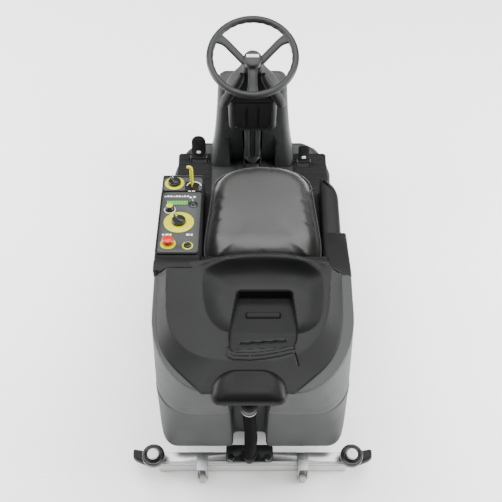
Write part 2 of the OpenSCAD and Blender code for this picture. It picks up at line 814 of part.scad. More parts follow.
// ---- hose ----
module hose_elbow() {
    r = hose_d / 2 + 5;
    color("Gray") {
        bar_y(rear_x, hose_y, channel_y - 14 - rest, 610, 2 * r);
        translate([rear_x, hose_y, 610]) sphere(r = r);
        bar_z(rear_x, hose_y, 548, 610, 2 * r);
    }
}
module drain_cap() {
    color("Black") {
        bar_y(rear_x - 22, -668, channel_y - 14 - rest, 720, 54);
        bar_y(rear_x - 22, -678, -668, 720, 66);
    }
}
hose_line = [[-12, -680, 700], [-12, -680, 547.7], [-12, -680, 460], [-9, -682, 370], [-5, -688, 290],
    [-8, -695, 215], [-12, -699, 148.3], [-12, -699, 40]];
hose_steps = 8;
hose_sides = 12;
function curve(p, q, r, s, t) = 0.5 * (2 * q + (r - p) * t + (2 * p - 5 * q + 4 * r - s) * t * t
    + (3 * q - p - 3 * r + s) * t * t * t);
function line_points(pts, n) = concat(
    [for (i = [1 : len(pts) - 3], j = [0 : n - 1])
        curve(pts[i - 1], pts[i], pts[i + 1], pts[i + 2], j / n)],
    [pts[len(pts) - 2]]);
function unit(v) = v / norm(v);
module swept(pts, d, sides) {
    n = len(pts);
    last = n - 1;
    dirs = [for (i = [0 : last]) i == 0 || i == last ? [0, 0, -1] : unit(pts[i + 1] - pts[i - 1])];
    polyhedron(
        points = [for (i = [0 : last], k = [0 : sides - 1])
            let (u = unit(cross([0, 1, 0], dirs[i])), v = cross(dirs[i], u), a = 360 * k / sides)
            pts[i] + d / 2 * (u * cos(a) + v * sin(a))],
        faces = concat(
            [[for (k = [sides - 1 : -1 : 0]) k]],
            [for (i = [0 : last - 1], k = [0 : sides - 1])
                let (a = i * sides + k, b = i * sides + (k + 1) % sides) [a, b, b + sides, a + sides]],
            [[for (k = [0 : sides - 1]) last * sides + k]]));
}
module suction_hose() {
    color("Black") swept(line_points(hose_line, hose_steps), hose_d, hose_sides);
}

// ---- brush deck ----
module lift_arm(y) {
    a = atan2(link_z, link_y);
    l = norm([link_y, link_z]);
    color("DimGray") translate([0, y, link_pivot_z]) rotate([a, 0, 0]) difference() {
        union() {
            both_sides() {
                block(30, 38, 0, l, -9, 9);
                bar_x(28, 40, 0, 0, 28);
                bar_x(28, 40, l, 0, 28);
            }
            bar_x(-34, 34, l / 2, 0, 14);
        }
        bar_x(-50, 50, 0, 0, link_pin_d + 2 * run);
        bar_x(-50, 50, l, 0, link_pin_d + 2 * run);
    }
}
module lift_arm_front() {
    lift_arm(link_front_y);
}
module lift_arm_rear() {
    lift_arm(link_rear_y);
}
module brush_deck() {
    half = brush_pitch / 2;
    rim = brush_d / 2 + 12;
    color("DimGray") {
        difference() {
            translate([0, 0, 42]) linear_extrude(30) polygon(stadium(rim, half, deck_y));
            translate([0, 0, 41]) linear_extrude(21) polygon(stadium(rim - 5, half, deck_y));
            for (s = [-1, 1]) {
                bar_z(s * half, deck_y, 60, 73, 28);
            }
        }
        for (y = [link_front_y + link_y, link_rear_y + link_y]) {
            for (s = [-1, 1]) {
                block(s * 49 - 4, s * 49 + 4, y - 12, y + 12, 71, link_pivot_z + link_z + 12);
            }
            bar_x(-50, 50, y, link_pivot_z + link_z, link_pin_d);
        }
    }
}
module brush_motors() {
    half = brush_pitch / 2;
    color("Black") for (s = [-1, 1]) {
        difference() {
            union() {
                bar_z(s * half, deck_y, 72, 80, 104);
                bar_z(s * half, deck_y, 80, 158, 92);
                bar_z(s * half, deck_y, 158, 170, 60);
            }
            bar_z(s * half, deck_y, 71, 104, 24 + 2 * run);
        }
    }
}
module brush(x) {
    bar_z(x, deck_y, 48, 58, 80);
    bar_z(x, deck_y, 58, 100, 24);
    bar_z(x, deck_y, 34, 48, brush_d - 20);
    difference() {
        translate([x, deck_y, 0]) cylinder(d1 = brush_d, d2 = brush_d - 22, h = 34);
        bar_z(x, deck_y, -1, 34, 120);
    }
}
module brush_left() {
    color("Gold") brush(-brush_pitch / 2);
}
module brush_right() {
    color("Gold") brush(brush_pitch / 2);
}

// ---- squeegee ----
module squeegee_arm() {
    color("Black") {
        difference() {
            union() {
                bar_x(rear_x - 26, rear_x + 26, arm_y, arm_z, 34);
                along_x(rear_x - 20, rear_x + 20, [[arm_y, arm_z - 15], [arm_y, arm_z + 15],
                    [-640, 136], [-662, 126], [-662, channel_high], [-640, channel_high]]);
                slab(rear_x - 92, rear_x + 92, -722, -654, channel_high, channel_high + 11, 12);
            }
            bar_x(rear_x - 40, rear_x + 40, arm_y, arm_z, arm_pin_d + 2 * run);
            bar_z(rear_x, nozzle_y, 100, 120, hose_d + 10);
            for (s = [-1, 1]) {
                bar_z(rear_x + s * 72, -712, 100, 120, 10);
            }
        }
    }
}
module squeegee_body() {
    half = squeegee_w / 2;
    color("Silver") {
        difference() {
            block(-half, half, channel_rear, channel_front, channel_low, channel_high);
            block(-half - 1, half + 1, channel_rear + 3, channel_front - 3, channel_low - 1, channel_high - 3);
            bar_z(rear_x, nozzle_y, 90, 110, 44);
        }
        // strap behind the rear blade
        block(-half, half, channel_rear - 8, channel_rear - 5, channel_low + 6, channel_high - 8);
    }
}
module squeegee_blades() {
    half = squeegee_w / 2;
    color("Sienna") {
        block(-half - 4, half + 4, channel_rear - 5, channel_rear, 1, channel_high - 4);
        block(-half, half, channel_front - 7, channel_front - 3, 3, channel_high - 8);
    }
}
module squeegee_ends() {
    half = squeegee_w / 2;
    color("Black") {
        both_sides() {
            translate([0, 0, channel_low + 2]) linear_extrude(channel_high - channel_low) polygon([
                [half + 4.2, -726], [half + 50, -724], [468, -700], [470, -668], [half + 60, -674],
                [half + 4.2, -678]]);
            bar_z(roller_x, roller_y, channel_high + 1, roller_low - air, 40);
            bar_z(roller_x, roller_y, channel_high + 1, roller_low + roller_h + 8, 20);
            bar_z(roller_x, roller_y, roller_low + roller_h + air, roller_low + roller_h + 8, 30);
        }
        // nozzle
        difference() {
            bar_z(rear_x, nozzle_y, channel_high, 148, hose_d + 8);
            bar_z(rear_x, nozzle_y, channel_high - 1, 149, hose_d - 2);
        }
    }
}
module clamp_knobs() {
    color("Black") for (s = [-1, 1]) {
        x = rear_x + s * 72;
        bar_z(x, -712, channel_high, channel_high + 16, 9);
        bar_z(x, -713, channel_high + 11, channel_high + 22, 22);
        bar_z(x, -713, channel_high + 22, channel_high + 40, 30);
    }
}
module caster_brackets() {
    color("DimGray") both_sides() {
        slab(caster_x - 22, caster_x + 22, -724, -688, channel_high, channel_high + 14, 5);
        block(caster_x - 20, caster_x + 20, -756, -716, channel_high + 8, channel_high + 14);
        for (s = [-1, 1]) {
            along_x(caster_x + s * 18 - 2, caster_x + s * 18 + 2, [[-722, channel_high + 12],
                [-760, channel_high + 12], [caster_y - 10, caster_d / 2 - 6],
                [caster_y + 10, caster_d / 2 - 6]]);
        }
        bar_x(caster_x - 22, caster_x + 22, caster_y, caster_d / 2, 8);
    }
}
module caster_wheel(x) {
    difference() {
        union() {
            bar_x(x - 12, x + 12, caster_y, caster_d / 2, caster_d);
            bar_x(x - 15, x + 15, caster_y, caster_d / 2, 20);
        }
        bar_x(x - 20, x + 20, caster_y, caster_d / 2, 8 + 2 * run);
    }
}
module caster_wheel_left() {
    color("LightGray") caster_wheel(-caster_x);
}
module caster_wheel_right() {
    color("LightGray") caster_wheel(caster_x);
}
module deflector(x) {
    difference() {
        union() {
            bar_z(x, roller_y, roller_low, roller_low + roller_h - 4, roller_d);
            bar_z(x, roller_y, roller_low, roller_low + roller_h, roller_d - 12);
        }
        bar_z(x, roller_y, roller_low - 1, roller_low + roller_h + 1, 20 + 2 * run);
    }
}
module deflector_left() {
    color("Black") deflector(-roller_x);
}
module deflector_right() {
    color("Black") deflector(roller_x);
}

chassis_frame();
battery_pack();
footboard();
foot_mats();
front_tower();
column_tube();
column_housing();
column_cover();
fresh_water_tank();
recovery_tank();
seat_console();
control_panel();
display();
dial_discs();
lever_gate();
suction_turbine();
hose_elbow();
drain_cap();
suction_hose();
steering_fork();
drive_hub();
front_tyre();
rear_rim_left();
rear_tyre_left();
rear_rim_right();
rear_tyre_right();
steering_wheel();
steering_shaft();
brake_pedal();
accelerator_pedal();
seat_cushion();
seat_pan();
selector_knob();
info_knob();
water_knob();
emergency_stop();
horn_button();
operator_key();
squeegee_lever();
tank_lid();
rear_cap();
fill_cap();
tank_latch_left();
tank_latch_right();
lift_arm_front();
lift_arm_rear();
brush_deck();
brush_motors();
brush_left();
brush_right();
squeegee_arm();
squeegee_body();
squeegee_blades();
squeegee_ends();
clamp_knobs();
caster_brackets();
caster_wheel_left();
caster_wheel_right();
deflector_left();
deflector_right();
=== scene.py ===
# Ride-on floor scrubber: tanks, seat, steering column, brush deck and squeegee, finished for looks.
# Sizes are millimetres in the frame's own axes: +Y forward, +X the driver's right, +Z up.
import math
import bpy
import numpy as np
from mathutils import Matrix, Vector


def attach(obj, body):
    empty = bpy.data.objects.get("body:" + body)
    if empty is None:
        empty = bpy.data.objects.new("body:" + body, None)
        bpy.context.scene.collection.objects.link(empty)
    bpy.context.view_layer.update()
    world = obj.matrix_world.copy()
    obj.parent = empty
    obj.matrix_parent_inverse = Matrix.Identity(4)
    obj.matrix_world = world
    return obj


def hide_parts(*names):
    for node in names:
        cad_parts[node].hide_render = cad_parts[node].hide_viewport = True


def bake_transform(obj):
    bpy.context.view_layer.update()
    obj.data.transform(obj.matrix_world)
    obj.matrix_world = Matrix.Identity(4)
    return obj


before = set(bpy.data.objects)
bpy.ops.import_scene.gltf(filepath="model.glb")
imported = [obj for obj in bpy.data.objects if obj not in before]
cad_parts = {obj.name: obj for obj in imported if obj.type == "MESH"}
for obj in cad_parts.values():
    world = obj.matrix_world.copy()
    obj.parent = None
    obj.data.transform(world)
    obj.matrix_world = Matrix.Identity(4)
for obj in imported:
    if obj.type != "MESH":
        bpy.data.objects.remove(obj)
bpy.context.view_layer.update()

MM = 0.001
LEAN = math.radians(14)        # steering column, towards the driver
SLOPE = math.radians(13.8)     # control panel, down to the front
REAR_X = -12                   # the hose and its channel sit a little left of the middle
SEAT_X = 38                    # middle of the cushion
SPLIT_Z = 558.4                # where the upper tank and the console start, above the lower tank
PANEL_Z = 787                  # height of the control panel's face at Y 0
COLUMN_TOP = 866               # middle of the steering wheel, up the column
WELD = 0.00002                 # points closer than this are one
TO_RIGHT = Matrix.Rotation(math.pi / 2, 4, "Y")     # turns a lathe's axis from up to the right,
TO_REAR = Matrix.Rotation(math.pi / 2, 4, "X")      # to the rear
TO_FRONT = Matrix.Rotation(-math.pi / 2, 4, "X")    # and to the front


def at(x, y, z=0):
    """A place given in mm."""
    return Matrix.Translation((x * MM, y * MM, z * MM))


ELBOW = at(REAR_X, -680, 610)                       # hose elbow under the cap


# ---- camera, floor and light ----
def studio():
    bpy.ops.object.camera_add(location=(-0.006, -1.833, 3.442), rotation=(math.radians(32), 0, 0))
    camera = bpy.context.object
    camera.data.lens = 62.75
    camera.data.sensor_width = 36
    bpy.context.scene.camera = camera
    bpy.ops.mesh.primitive_plane_add(size=40, location=(0, 0, 0))
    floor = bpy.context.object
    floor.name = "studio_floor"
    floor.data.materials.append(paper_floor())
    for name, place, aim, size, power in [
            ("overhead_softbox", (0, 1.3, 6.0), (0, 0.3, 0.0), 7.0, 1150),
            ("left_softbox", (-3.4, 0.5, 1.4), (0, 0.0, 0.6), 1.8, 230),
            ("right_softbox", (3.3, -0.3, 1.4), (0, -0.2, 0.6), 1.8, 260),
            ("rear_reflector", (0.9, -4.4, 3.4), (0, 0.2, 0.5), 1.2, 14)]:
        bpy.ops.object.light_add(type="AREA", location=place)
        lamp = bpy.context.object
        lamp.name = name
        lamp.data.size = size
        lamp.data.energy = power
        lamp.rotation_euler = (Vector(aim) - Vector(place)).to_track_quat("-Z", "Y").to_euler()
    world = bpy.data.worlds.new("white_studio")
    world.use_nodes = True
    world.node_tree.nodes["Background"].inputs["Color"].default_value = (1, 1, 1, 1)
    world.node_tree.nodes["Background"].inputs["Strength"].default_value = 0.22
    bpy.context.scene.world = world


# ---- materials ----
def linear(code):
    """An sRGB hex colour as linear RGBA."""
    parts = [int(code[i:i + 2], 16) / 255 for i in (1, 3, 5)]
    return [p / 12.92 if p <= 0.04045 else ((p + 0.055) / 1.055) ** 2.4 for p in parts] + [1]


def add(mat, kind, sockets=None, **settings):
    """Adds one node. A socket takes a value, or another node's output."""
    made = mat.node_tree.nodes.new("ShaderNode" + kind)
    for key, value in settings.items():
        setattr(made, key, value)
    for key, value in (sockets or {}).items():
        if isinstance(value, bpy.types.NodeSocket):
            mat.node_tree.links.new(value, made.inputs[key])
        else:
            made.inputs[key].default_value = value
    return made


def blank(name, slot, **surface):
    """A material with its shader; its slot is the record's."""
    mat = bpy.data.materials.new(name)
    mat.use_nodes = True
    mat["slot"] = slot
    shader = mat.node_tree.nodes["Principled BSDF"]
    for key, value in surface.items():
        shader.inputs[key.replace("_", " ")].default_value = value
    return mat, shader


def wire(mat, shader, socket, output):
    mat.node_tree.links.new(output, shader.inputs[socket])


def shade(mat, shader, fac, span, low, high):
    """Colours the surface from low to high where the texture runs over the span."""
    ramp = add(mat, "ValToRGB", {"Fac": fac})
    for element, place, tone in zip(ramp.color_ramp.elements, span, (low, high)):
        element.position, element.color = place, tone
    wire(mat, shader, "Base Color", ramp.outputs["Color"])


def cloud_gloss(mat, shader, fac, low, high):
    """Lets the roughness drift from low to high with the texture."""
    gloss = add(mat, "MapRange", {"Value": fac, "From Min": 0.3, "From Max": 0.7, "To Min": low, "To Max": high})
    wire(mat, shader, "Roughness", gloss.outputs["Result"])


def relief(mat, shader, height, strength, distance):
    bump = add(mat, "Bump", {"Height": height, "Strength": strength, "Distance": distance})
    wire(mat, shader, "Normal", bump.outputs["Normal"])


def paper_floor():
    # Seamless studio paper: a matt pale ground with hardly any tooth.
    mat, shader = blank("seamless_paper", "floor", Roughness=0.95)
    shader.inputs["Base Color"].default_value = linear("#fafafa")
    grain = add(mat, "TexNoise", {"Vector": add(mat, "TexCoord").outputs["Object"], "Scale": 900.0})
    relief(mat, shader, grain.outputs["Fac"], 0.05, 0.0003)
    return mat


def moulding(name, slot, low, high, rough, grain, depth, **surface):
    """Moulded plastic or rubber: a skin grain of that size and depth in mm, cloudy gloss, faint mottling."""
    mat, shader = blank(name, slot, **surface)
    place = add(mat, "TexCoord").outputs["Object"]
    cloud = add(mat, "TexNoise", {"Vector": place, "Scale": 1000 / 120, "Detail": 3.0})
    fleck = add(mat, "TexNoise", {"Vector": place, "Scale": 1000 / (grain * 2.5), "Detail": 2.0})
    blend = add(mat, "Math", {0: cloud.outputs["Fac"], 1: fleck.outputs["Fac"]}, operation="ADD")
    half = add(mat, "Math", {0: blend.outputs[0], 1: 0.5}, operation="MULTIPLY")
    shade(mat, shader, half.outputs[0], (0.36, 0.64), linear(low), linear(high))
    cloud_gloss(mat, shader, cloud.outputs["Fac"], rough - 0.04, rough + 0.05)
    skin = add(mat, "TexNoise", {"Vector": place, "Scale": 1000 / grain, "Detail": 2.0, "Roughness": 0.6})
    relief(mat, shader, skin.outputs["Fac"], 0.5, depth * MM)
    return mat


def metal(name, slot, tone, rough, stretch, depth=0.02, **surface):
    """Worked metal: fine lines drawn out along the axis where stretch is small, in lines a millimetre."""
    mat, shader = blank(name, slot, Metallic=1.0, **surface)
    place = add(mat, "TexCoord").outputs["Object"]
    along = add(mat, "Mapping", {"Vector": place, "Scale": [s * 1000 for s in stretch]})
    lines = add(mat, "TexNoise", {"Vector": along.outputs["Vector"], "Scale": 1.0, "Detail": 4.0})
    dim = [c * 0.8 for c in linear(tone)[:3]] + [1]
    shade(mat, shader, lines.outputs["Fac"], (0.3, 0.7), dim, linear(tone))
    cloud_gloss(mat, shader, lines.outputs["Fac"], rough - 0.06, rough + 0.08)
    relief(mat, shader, lines.outputs["Fac"], 0.3, depth * MM)
    return mat


# Rotomoulded polyethylene: waxy mid grey, soft broad highlights, a fine orange peel
# (the real 0.8 mm grain is drawn at 2.2 mm so that it shows).
tank_grey = moulding("rotomoulded_polyethylene", "grey_shell", "#2e3030", "#363837", 0.55, 2.2, 0.10,
                     Specular_IOR_Level=0.25)
# Injection moulded ABS with a spark-eroded texture: deep charcoal that greys where light grazes it.
shell_black = moulding("textured_black_abs", "black_shell", "#101111", "#161616", 0.52, 1.8, 0.12,
                       Specular_IOR_Level=0.16)
# The same plastic, darkened as painted shade on the cap behind the lid, whose rear-facing slopes get little light.
cap_black_painted_shade = moulding("black_abs_painted_shade", "black_shell", "#060606", "#0a0a0a", 0.50, 1.8, 0.10,
                     Specular_IOR_Level=0.14)
# The same plastic, polished: knobs, caps and the steering rim catch small sharp lights.
gloss_black = moulding("polished_black_abs", "black_shell", "#121314", "#191a1b", 0.28, 3.0, 0.03)
# Soft-grip PVC of the steering wheel: satin, lighter than the covers, partly its own grey and partly painted highlight
# from the overhead light.
wheel_grey_painted_sheen = moulding("soft_grip_pvc_painted_sheen", "black_shell", "#191a1a", "#202121", 0.48, 2.0, 0.08,
                      Specular_IOR_Level=0.3)
# Nitrile rubber: dull and slightly dusty.
rubber_black = moulding("nitrile_rubber", "black_rubber", "#141414", "#202020", 0.72, 1.6, 0.10,
                        Specular_IOR_Level=0.12)
# Carbon-black tyre rubber: dry, greyed by dust.
tyre_black = moulding("carbon_black_tyre_rubber", "tyre_rubber", "#191919", "#292928", 0.82, 2.4, 0.16,
                      Specular_IOR_Level=0.2)
# Cast polyurethane blades: milky, slightly warm, a soft waxy gloss.
blade_rubber = moulding("milky_polyurethane", "blade_rubber", "#d2d0c9", "#dedcd6", 0.45, 2.5, 0.04)
# Lemon ABS: bright, even, with a clear moulded gloss.
lemon = moulding("lemon_yellow_abs", "yellow", "#a6a600", "#b6b400", 0.32, 3.0, 0.02)
# Signal red ABS of the stop button.
signal_red = moulding("signal_red_abs", "red", "#a51508", "#c52412", 0.30, 3.0, 0.02)
# Silk-printed polycarbonate sheet of the control panel: flat mid grey, fine matt tooth.
panel_grey = moulding("matt_polycarbonate_sheet", "grey_shell", "#343635", "#3d403e", 0.55, 1.2, 0.03,
                      Specular_IOR_Level=0.3)
# Cast polyurethane of the small castors: pale, slightly yellowed.
caster_grey = moulding("cast_polyurethane", "light_plastic", "#a9aaa4", "#bdbeb7", 0.45, 2.5, 0.04)
# Powder-coated steel: satin near-black with a fine orange peel.
powder_coat = moulding("powder_coated_steel", "frame_paint", "#232526", "#2c2e2f", 0.38, 1.6, 0.06)
# Polypropylene battery cases: plain dark grey.
battery_grey = moulding("polypropylene_case", "battery_case", "#2a2d30", "#33363a", 0.5, 2.0, 0.05)
# White polyamide of the pedal inlays and the light marks.
pale_inlay = moulding("white_polyamide", "light_plastic", "#c9cac6", "#d8d8d4", 0.42, 2.0, 0.03)
# Brushed stainless channel: long hair lines along X.
brushed_steel = metal("brushed_stainless", "steel", "#b4b5b4", 0.34, (0.01, 0.6, 0.6))
# Zinc-plated pressings: short random grain, a little cloudy.
zinc = metal("zinc_plated_steel", "steel", "#9da0a2", 0.40, (0.12, 0.12, 0.12))
# Die-cast aluminium rims: pale, slightly sandy.
cast_alloy = metal("die_cast_aluminium", "aluminium", "#a6a8a9", 0.48, (0.4, 0.4, 0.4), 0.06)


def seat_vinyl():
    # Satin upholstery vinyl: a pebbled hide grain (0.9 mm, drawn at 2.4 mm to show) and a soft sheen.
    mat, shader = blank("pebbled_seat_vinyl", "vinyl", Sheen_Weight=0.12, Sheen_Roughness=0.45)
    place = add(mat, "TexCoord").outputs["Object"]
    pebble = add(mat, "TexVoronoi", {"Vector": place, "Scale": 1000 / 2.4}, feature="SMOOTH_F1")
    cloud = add(mat, "TexNoise", {"Vector": place, "Scale": 1000 / 90, "Detail": 3.0})
    shade(mat, shader, cloud.outputs["Fac"], (0.3, 0.7), linear("#131312"), linear("#191918"))
    cloud_gloss(mat, shader, cloud.outputs["Fac"], 0.40, 0.50)
    relief(mat, shader, pebble.outputs["Distance"], 0.35, 0.0002)
    return mat


def display_window():
    # Backlit liquid crystal behind clear acrylic: yellow-green, darker bars, a hard clear gloss.
    mat, shader = blank("lcd_behind_acrylic", "glass", Roughness=0.12, Coat_Weight=0.6, Coat_Roughness=0.05)
    place = add(mat, "TexCoord").outputs["Object"]
    bars = add(mat, "TexWave", {"Vector": place, "Scale": 55.0, "Distortion": 0.0})
    shade(mat, shader, bars.outputs["Fac"], (0.35, 0.5), linear("#2f6a2c"), linear("#5fb04a"))
    return mat


def brush_bristle():
    # Polypropylene filaments: fine upright strands, tips paler than roots.
    mat, shader = blank("polypropylene_filament", "bristle", Roughness=0.5)
    place = add(mat, "TexCoord").outputs["Object"]
    along = add(mat, "Mapping", {"Vector": place, "Scale": [400, 400, 12]})
    strands = add(mat, "TexNoise", {"Vector": along.outputs["Vector"], "Scale": 1.0, "Detail": 3.0})
    shade(mat, shader, strands.outputs["Fac"], (0.35, 0.65), linear("#8a1d12"), linear("#b43524"))
    relief(mat, shader, strands.outputs["Fac"], 0.8, 0.0008)
    return mat


vinyl, lcd, bristle = seat_vinyl(), display_window(), brush_bristle()


# ---- bench tools ----
def clear():
    if bpy.context.object and bpy.context.object.mode != "OBJECT":
        bpy.ops.object.mode_set(mode="OBJECT")
    bpy.ops.object.select_all(action="DESELECT")


def just(*parts):
    """Leaves only these parts selected, the first one active."""
    clear()
    for part in parts:
        part.select_set(True)
    bpy.context.view_layer.objects.active = parts[0]
    return parts[0]


def settle(part):
    """Puts the part's place, turn and scale into its mesh."""
    just(part)
    bpy.ops.object.transform_apply(location=True, rotation=True, scale=True)
    return part


def edit(part, test=None):
    """Opens the part for editing with the faces selected whose middle (mm) and normal pass the test."""
    just(part)
    for edge_or_face in (part.data.edges, part.data.vertices):
        edge_or_face.foreach_set("select", [False] * len(edge_or_face))
    part.data.polygons.foreach_set("select", [
        test is None or bool(test(p.center / MM, p.normal)) for p in part.data.polygons])
    bpy.ops.object.mode_set(mode="EDIT")
    bpy.ops.mesh.select_mode(type="FACE")


def done():
    bpy.ops.object.mode_set(mode="OBJECT")


def apply(part, kind, **settings):
    """Adds a modifier and applies it."""
    just(part)
    tool = part.modifiers.new(kind.lower(), kind)
    for key, value in settings.items():
        setattr(tool, key, value)
    bpy.ops.object.modifier_apply(modifier=tool.name)
    return part


def ease(part, width, steps=3, angle=32):
    """Rounds the part's sharp edges by width mm."""
    return apply(part, "BEVEL", width=width * MM, segments=steps, limit_method="ANGLE",
                 angle_limit=math.radians(angle), use_clamp_overlap=True, harden_normals=False)


def block(x, y, z, soft=2, steps=3):
    """A block between three pairs of mm, its edges eased."""
    clear()
    bpy.ops.mesh.primitive_cube_add(size=1, location=[(p[0] + p[1]) / 2 * MM for p in (x, y, z)])
    part = bpy.context.object
    part.scale = [(p[1] - p[0]) * MM for p in (x, y, z)]
    settle(part)
    return ease(part, soft, steps) if soft else part


def skin(rings, caps=True, loop=True):
    """A skin over rings of points in mm, all with as many points. A loop ring closes on itself."""
    clear()
    rings = np.asarray(rings, float)
    if loop:
        rings = np.concatenate([rings, rings[:, :1]], axis=1)
    rows, columns = rings.shape[:2]
    bpy.ops.mesh.primitive_grid_add(x_subdivisions=columns - 1, y_subdivisions=rows - 1, size=1)
    part = bpy.context.object
    part.data.vertices.foreach_set("co", (rings * MM).ravel())
    part.data.update()
    edit(part)
    if loop:
        bpy.ops.mesh.remove_doubles(threshold=WELD)
    if caps:
        bpy.ops.mesh.select_all(action="DESELECT")
        bpy.ops.mesh.select_mode(type="VERT")
        bpy.ops.mesh.select_non_manifold()
        bpy.ops.mesh.fill_holes(sides=0)
    bpy.ops.mesh.select_all(action="SELECT")
    bpy.ops.mesh.normals_make_consistent(inside=False)
    done()
    return part


def weld(part):
    """Closes a skin whose last ring meets its first."""
    edit(part)
    bpy.ops.mesh.remove_doubles(threshold=WELD)
    bpy.ops.mesh.normals_make_consistent(inside=False)
    done()
    return part


def wavy(n, z, radius):
    """A ring of n points whose radius is a function of the point's number."""
    return [(radius(i) * math.cos(2 * math.pi * i / n), radius(i) * math.sin(2 * math.pi * i / n), z)
            for i in range(n)]


def lathe(profile, place=None, sides=64, caps=True):
    """Turns a profile of (radius, height) in mm about Z, then puts it in its place."""
    turn = [2 * math.pi * i / sides for i in range(sides)]
    part = skin([[(r * math.cos(a), r * math.sin(a), h) for a in turn] for r, h in profile], caps)
    return put(part, place)


def put(part, place):
    if place is not None:
        part.matrix_world = place
        settle(part)
        if place.determinant() < 0:
            edit(part)
            bpy.ops.mesh.normals_make_consistent(inside=False)
            done()
    return part


def rounded(x0, x1, y0, y1, r, n=6):
    """A rounded rectangle as points, counter-clockwise."""
    out = []
    for cx, cy, start in ((x1 - r, y1 - r, 0), (x0 + r, y1 - r, 90), (x0 + r, y0 + r, 180), (x1 - r, y0 + r, 270)):
        out += [(cx + r * math.cos(math.radians(start + 90 * i / n)),
                 cy + r * math.sin(math.radians(start + 90 * i / n))) for i in range(n + 1)]
    return out


def slab(x0, x1, y0, y1, z0, z1, r, soft=1.5, place=None, n=6):
    """A plate with a rounded plan, its top and bottom edges eased in two steps."""
    rings = []
    for z, k in ((z0, soft), (z0 + soft * 0.3, soft * 0.3), (z0 + soft, 0), (z1 - soft, 0),
                 (z1 - soft * 0.3, soft * 0.3), (z1, soft)):
        rings.append([(x, y, z) for x, y in rounded(x0 + k, x1 - k, y0 + k, y1 - k, max(r - k, 0.4), n)])
    return put(skin(rings), place)


def along_x(x0, x1, outline, soft=0, steps=3):
    """A prism along X with a (y, z) outline."""
    part = skin([[(x, y, z) for y, z in outline] for x in (x0, x1)])
    return ease(part, soft, steps) if soft else part


def tube(path, radii, sides=24, caps=True):
    """A tube along points in mm; radii is one number or one for each point."""
    pts = [Vector(p) for p in path]
    radii = [radii] * len(pts) if isinstance(radii, (int, float)) else radii
    side = Vector((0, 0, 1)).cross(pts[1] - pts[0])
    side = side if side.length > 1e-3 else Vector((1, 0, 0))
    rings = []
    for i, p in enumerate(pts):
        way = (pts[min(i + 1, len(pts) - 1)] - pts[max(i - 1, 0)]).normalized()
        side = (side - way * side.dot(way)).normalized()
        up = way.cross(side)
        rings.append([tuple(p + (side * math.cos(a) + up * math.sin(a)) * radii[i])
                      for a in (2 * math.pi * k / sides for k in range(sides))])
    return skin(rings, caps)


def cut(part, *cutters):
    """Takes the cutters away from the part."""
    for cutter in cutters:
        apply(part, "BOOLEAN", operation="DIFFERENCE", object=cutter, solver="EXACT")
        bpy.data.objects.remove(cutter)
    return part


def join(*parts):
    just(*parts)
    bpy.ops.object.join()
    return bpy.context.object


def name_up(part, name, material, body, *nodes, smooth=32):
    """Names, coats and shades a finished part, lets it ride on its body and stand for its nodes."""
    settle(part)
    part.name = part.data.name = name
    if material is not None:
        part.data.materials.clear()
        part.data.materials.append(material)
    just(part)
    bpy.ops.object.shade_smooth_by_angle(angle=math.radians(smooth))
    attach(part, body)
    if nodes:
        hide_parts(*nodes)
    return part


def coat(part, material):
    part.data.materials.clear()
    part.data.materials.append(material)
    return part


def dress(node, name, material, body, width, steps=2, angle=35):
    """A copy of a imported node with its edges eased, in its own finish."""
    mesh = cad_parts[node].data.copy()
    part = bpy.data.objects.new(name, mesh)
    bpy.context.scene.collection.objects.link(part)
    coat(part, material)
    edit(part)
    bpy.ops.mesh.remove_doubles(threshold=0.00001)
    bpy.ops.mesh.dissolve_limited(angle_limit=math.radians(0.6))
    done()
    ease(part, width, steps, angle)
    return name_up(part, name, material, body, node)


def in_column(x=0, d=0, s=0):
    """The steering column's own axes: s runs up the column, d forward from it."""
    return at(0, 655, 285) @ Matrix.Rotation(LEAN, 4, "X") @ at(x, d, s)


def on_panel(x, y):
    """A point on the control panel's face, Z out of it."""
    return at(x, y, PANEL_Z - y * math.tan(SLOPE)) @ Matrix.Rotation(-SLOPE, 4, "X")


def swell(t):
    """Rises smoothly from 0 to 1 as t does."""
    t = np.clip(t, 0, 1)
    return t * t * (3 - 2 * t)


studio()


# ---- suction hose, first because it is the only cord ----
HOSE_LINE = [(-12, -680, 700), (-12, -680, 547.7), (-12, -680, 460), (-9, -682, 370), (-5, -688, 290),
             (-8, -695, 215), (-12, -699, 148.3), (-12, -699, 40)]


def hose_points(steps):
    """The hose's centre line: a smooth curve through its route points, the two end ones only steering it."""
    out = []
    for i in range(1, len(HOSE_LINE) - 2):
        p, q, r, s = (Vector(HOSE_LINE[i + k]) for k in (-1, 0, 1, 2))
        for j in range(steps):
            t = j / steps
            out.append(0.5 * (2 * q + (r - p) * t + (2 * p - 5 * q + 4 * r - s) * t ** 2
                              + (3 * q - p - 3 * r + s) * t ** 3))
    return out + [Vector(HOSE_LINE[-2])]


def suction_hose():
    # Corrugated EVA hose, a rib each 8 mm, with a plain cuff at each end.
    fine = hose_points(80)
    reach = [0.0]
    for a, b in zip(fine, fine[1:]):
        reach.append(reach[-1] + (b - a).length)
    total = reach[-1]
    ribs, cuff = 50, 7
    stations, radii = [], []
    for i in range(ribs * 4 + 1):
        along = total * i / (ribs * 4)
        stations.append([float(np.interp(along, reach, [p[k] for p in fine])) for k in range(3)])
        edge = min(along, total - along)
        ribbed = 21.9 - 1.5 * math.cos(2 * math.pi * i / 4) * (1 if edge > cuff else 0)
        radii.append(22.6 if edge < cuff else max(ribbed, 20.4))
    hose = tube(stations, radii, sides=32)
    coat(hose, rubber_black)
    hose.name = hose.data.name = "ribbed_suction_hose"
    just(hose)
    bpy.ops.object.shade_smooth_by_angle(angle=math.radians(60))
    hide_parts("suction_hose")
    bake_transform(hose)


suction_hose()


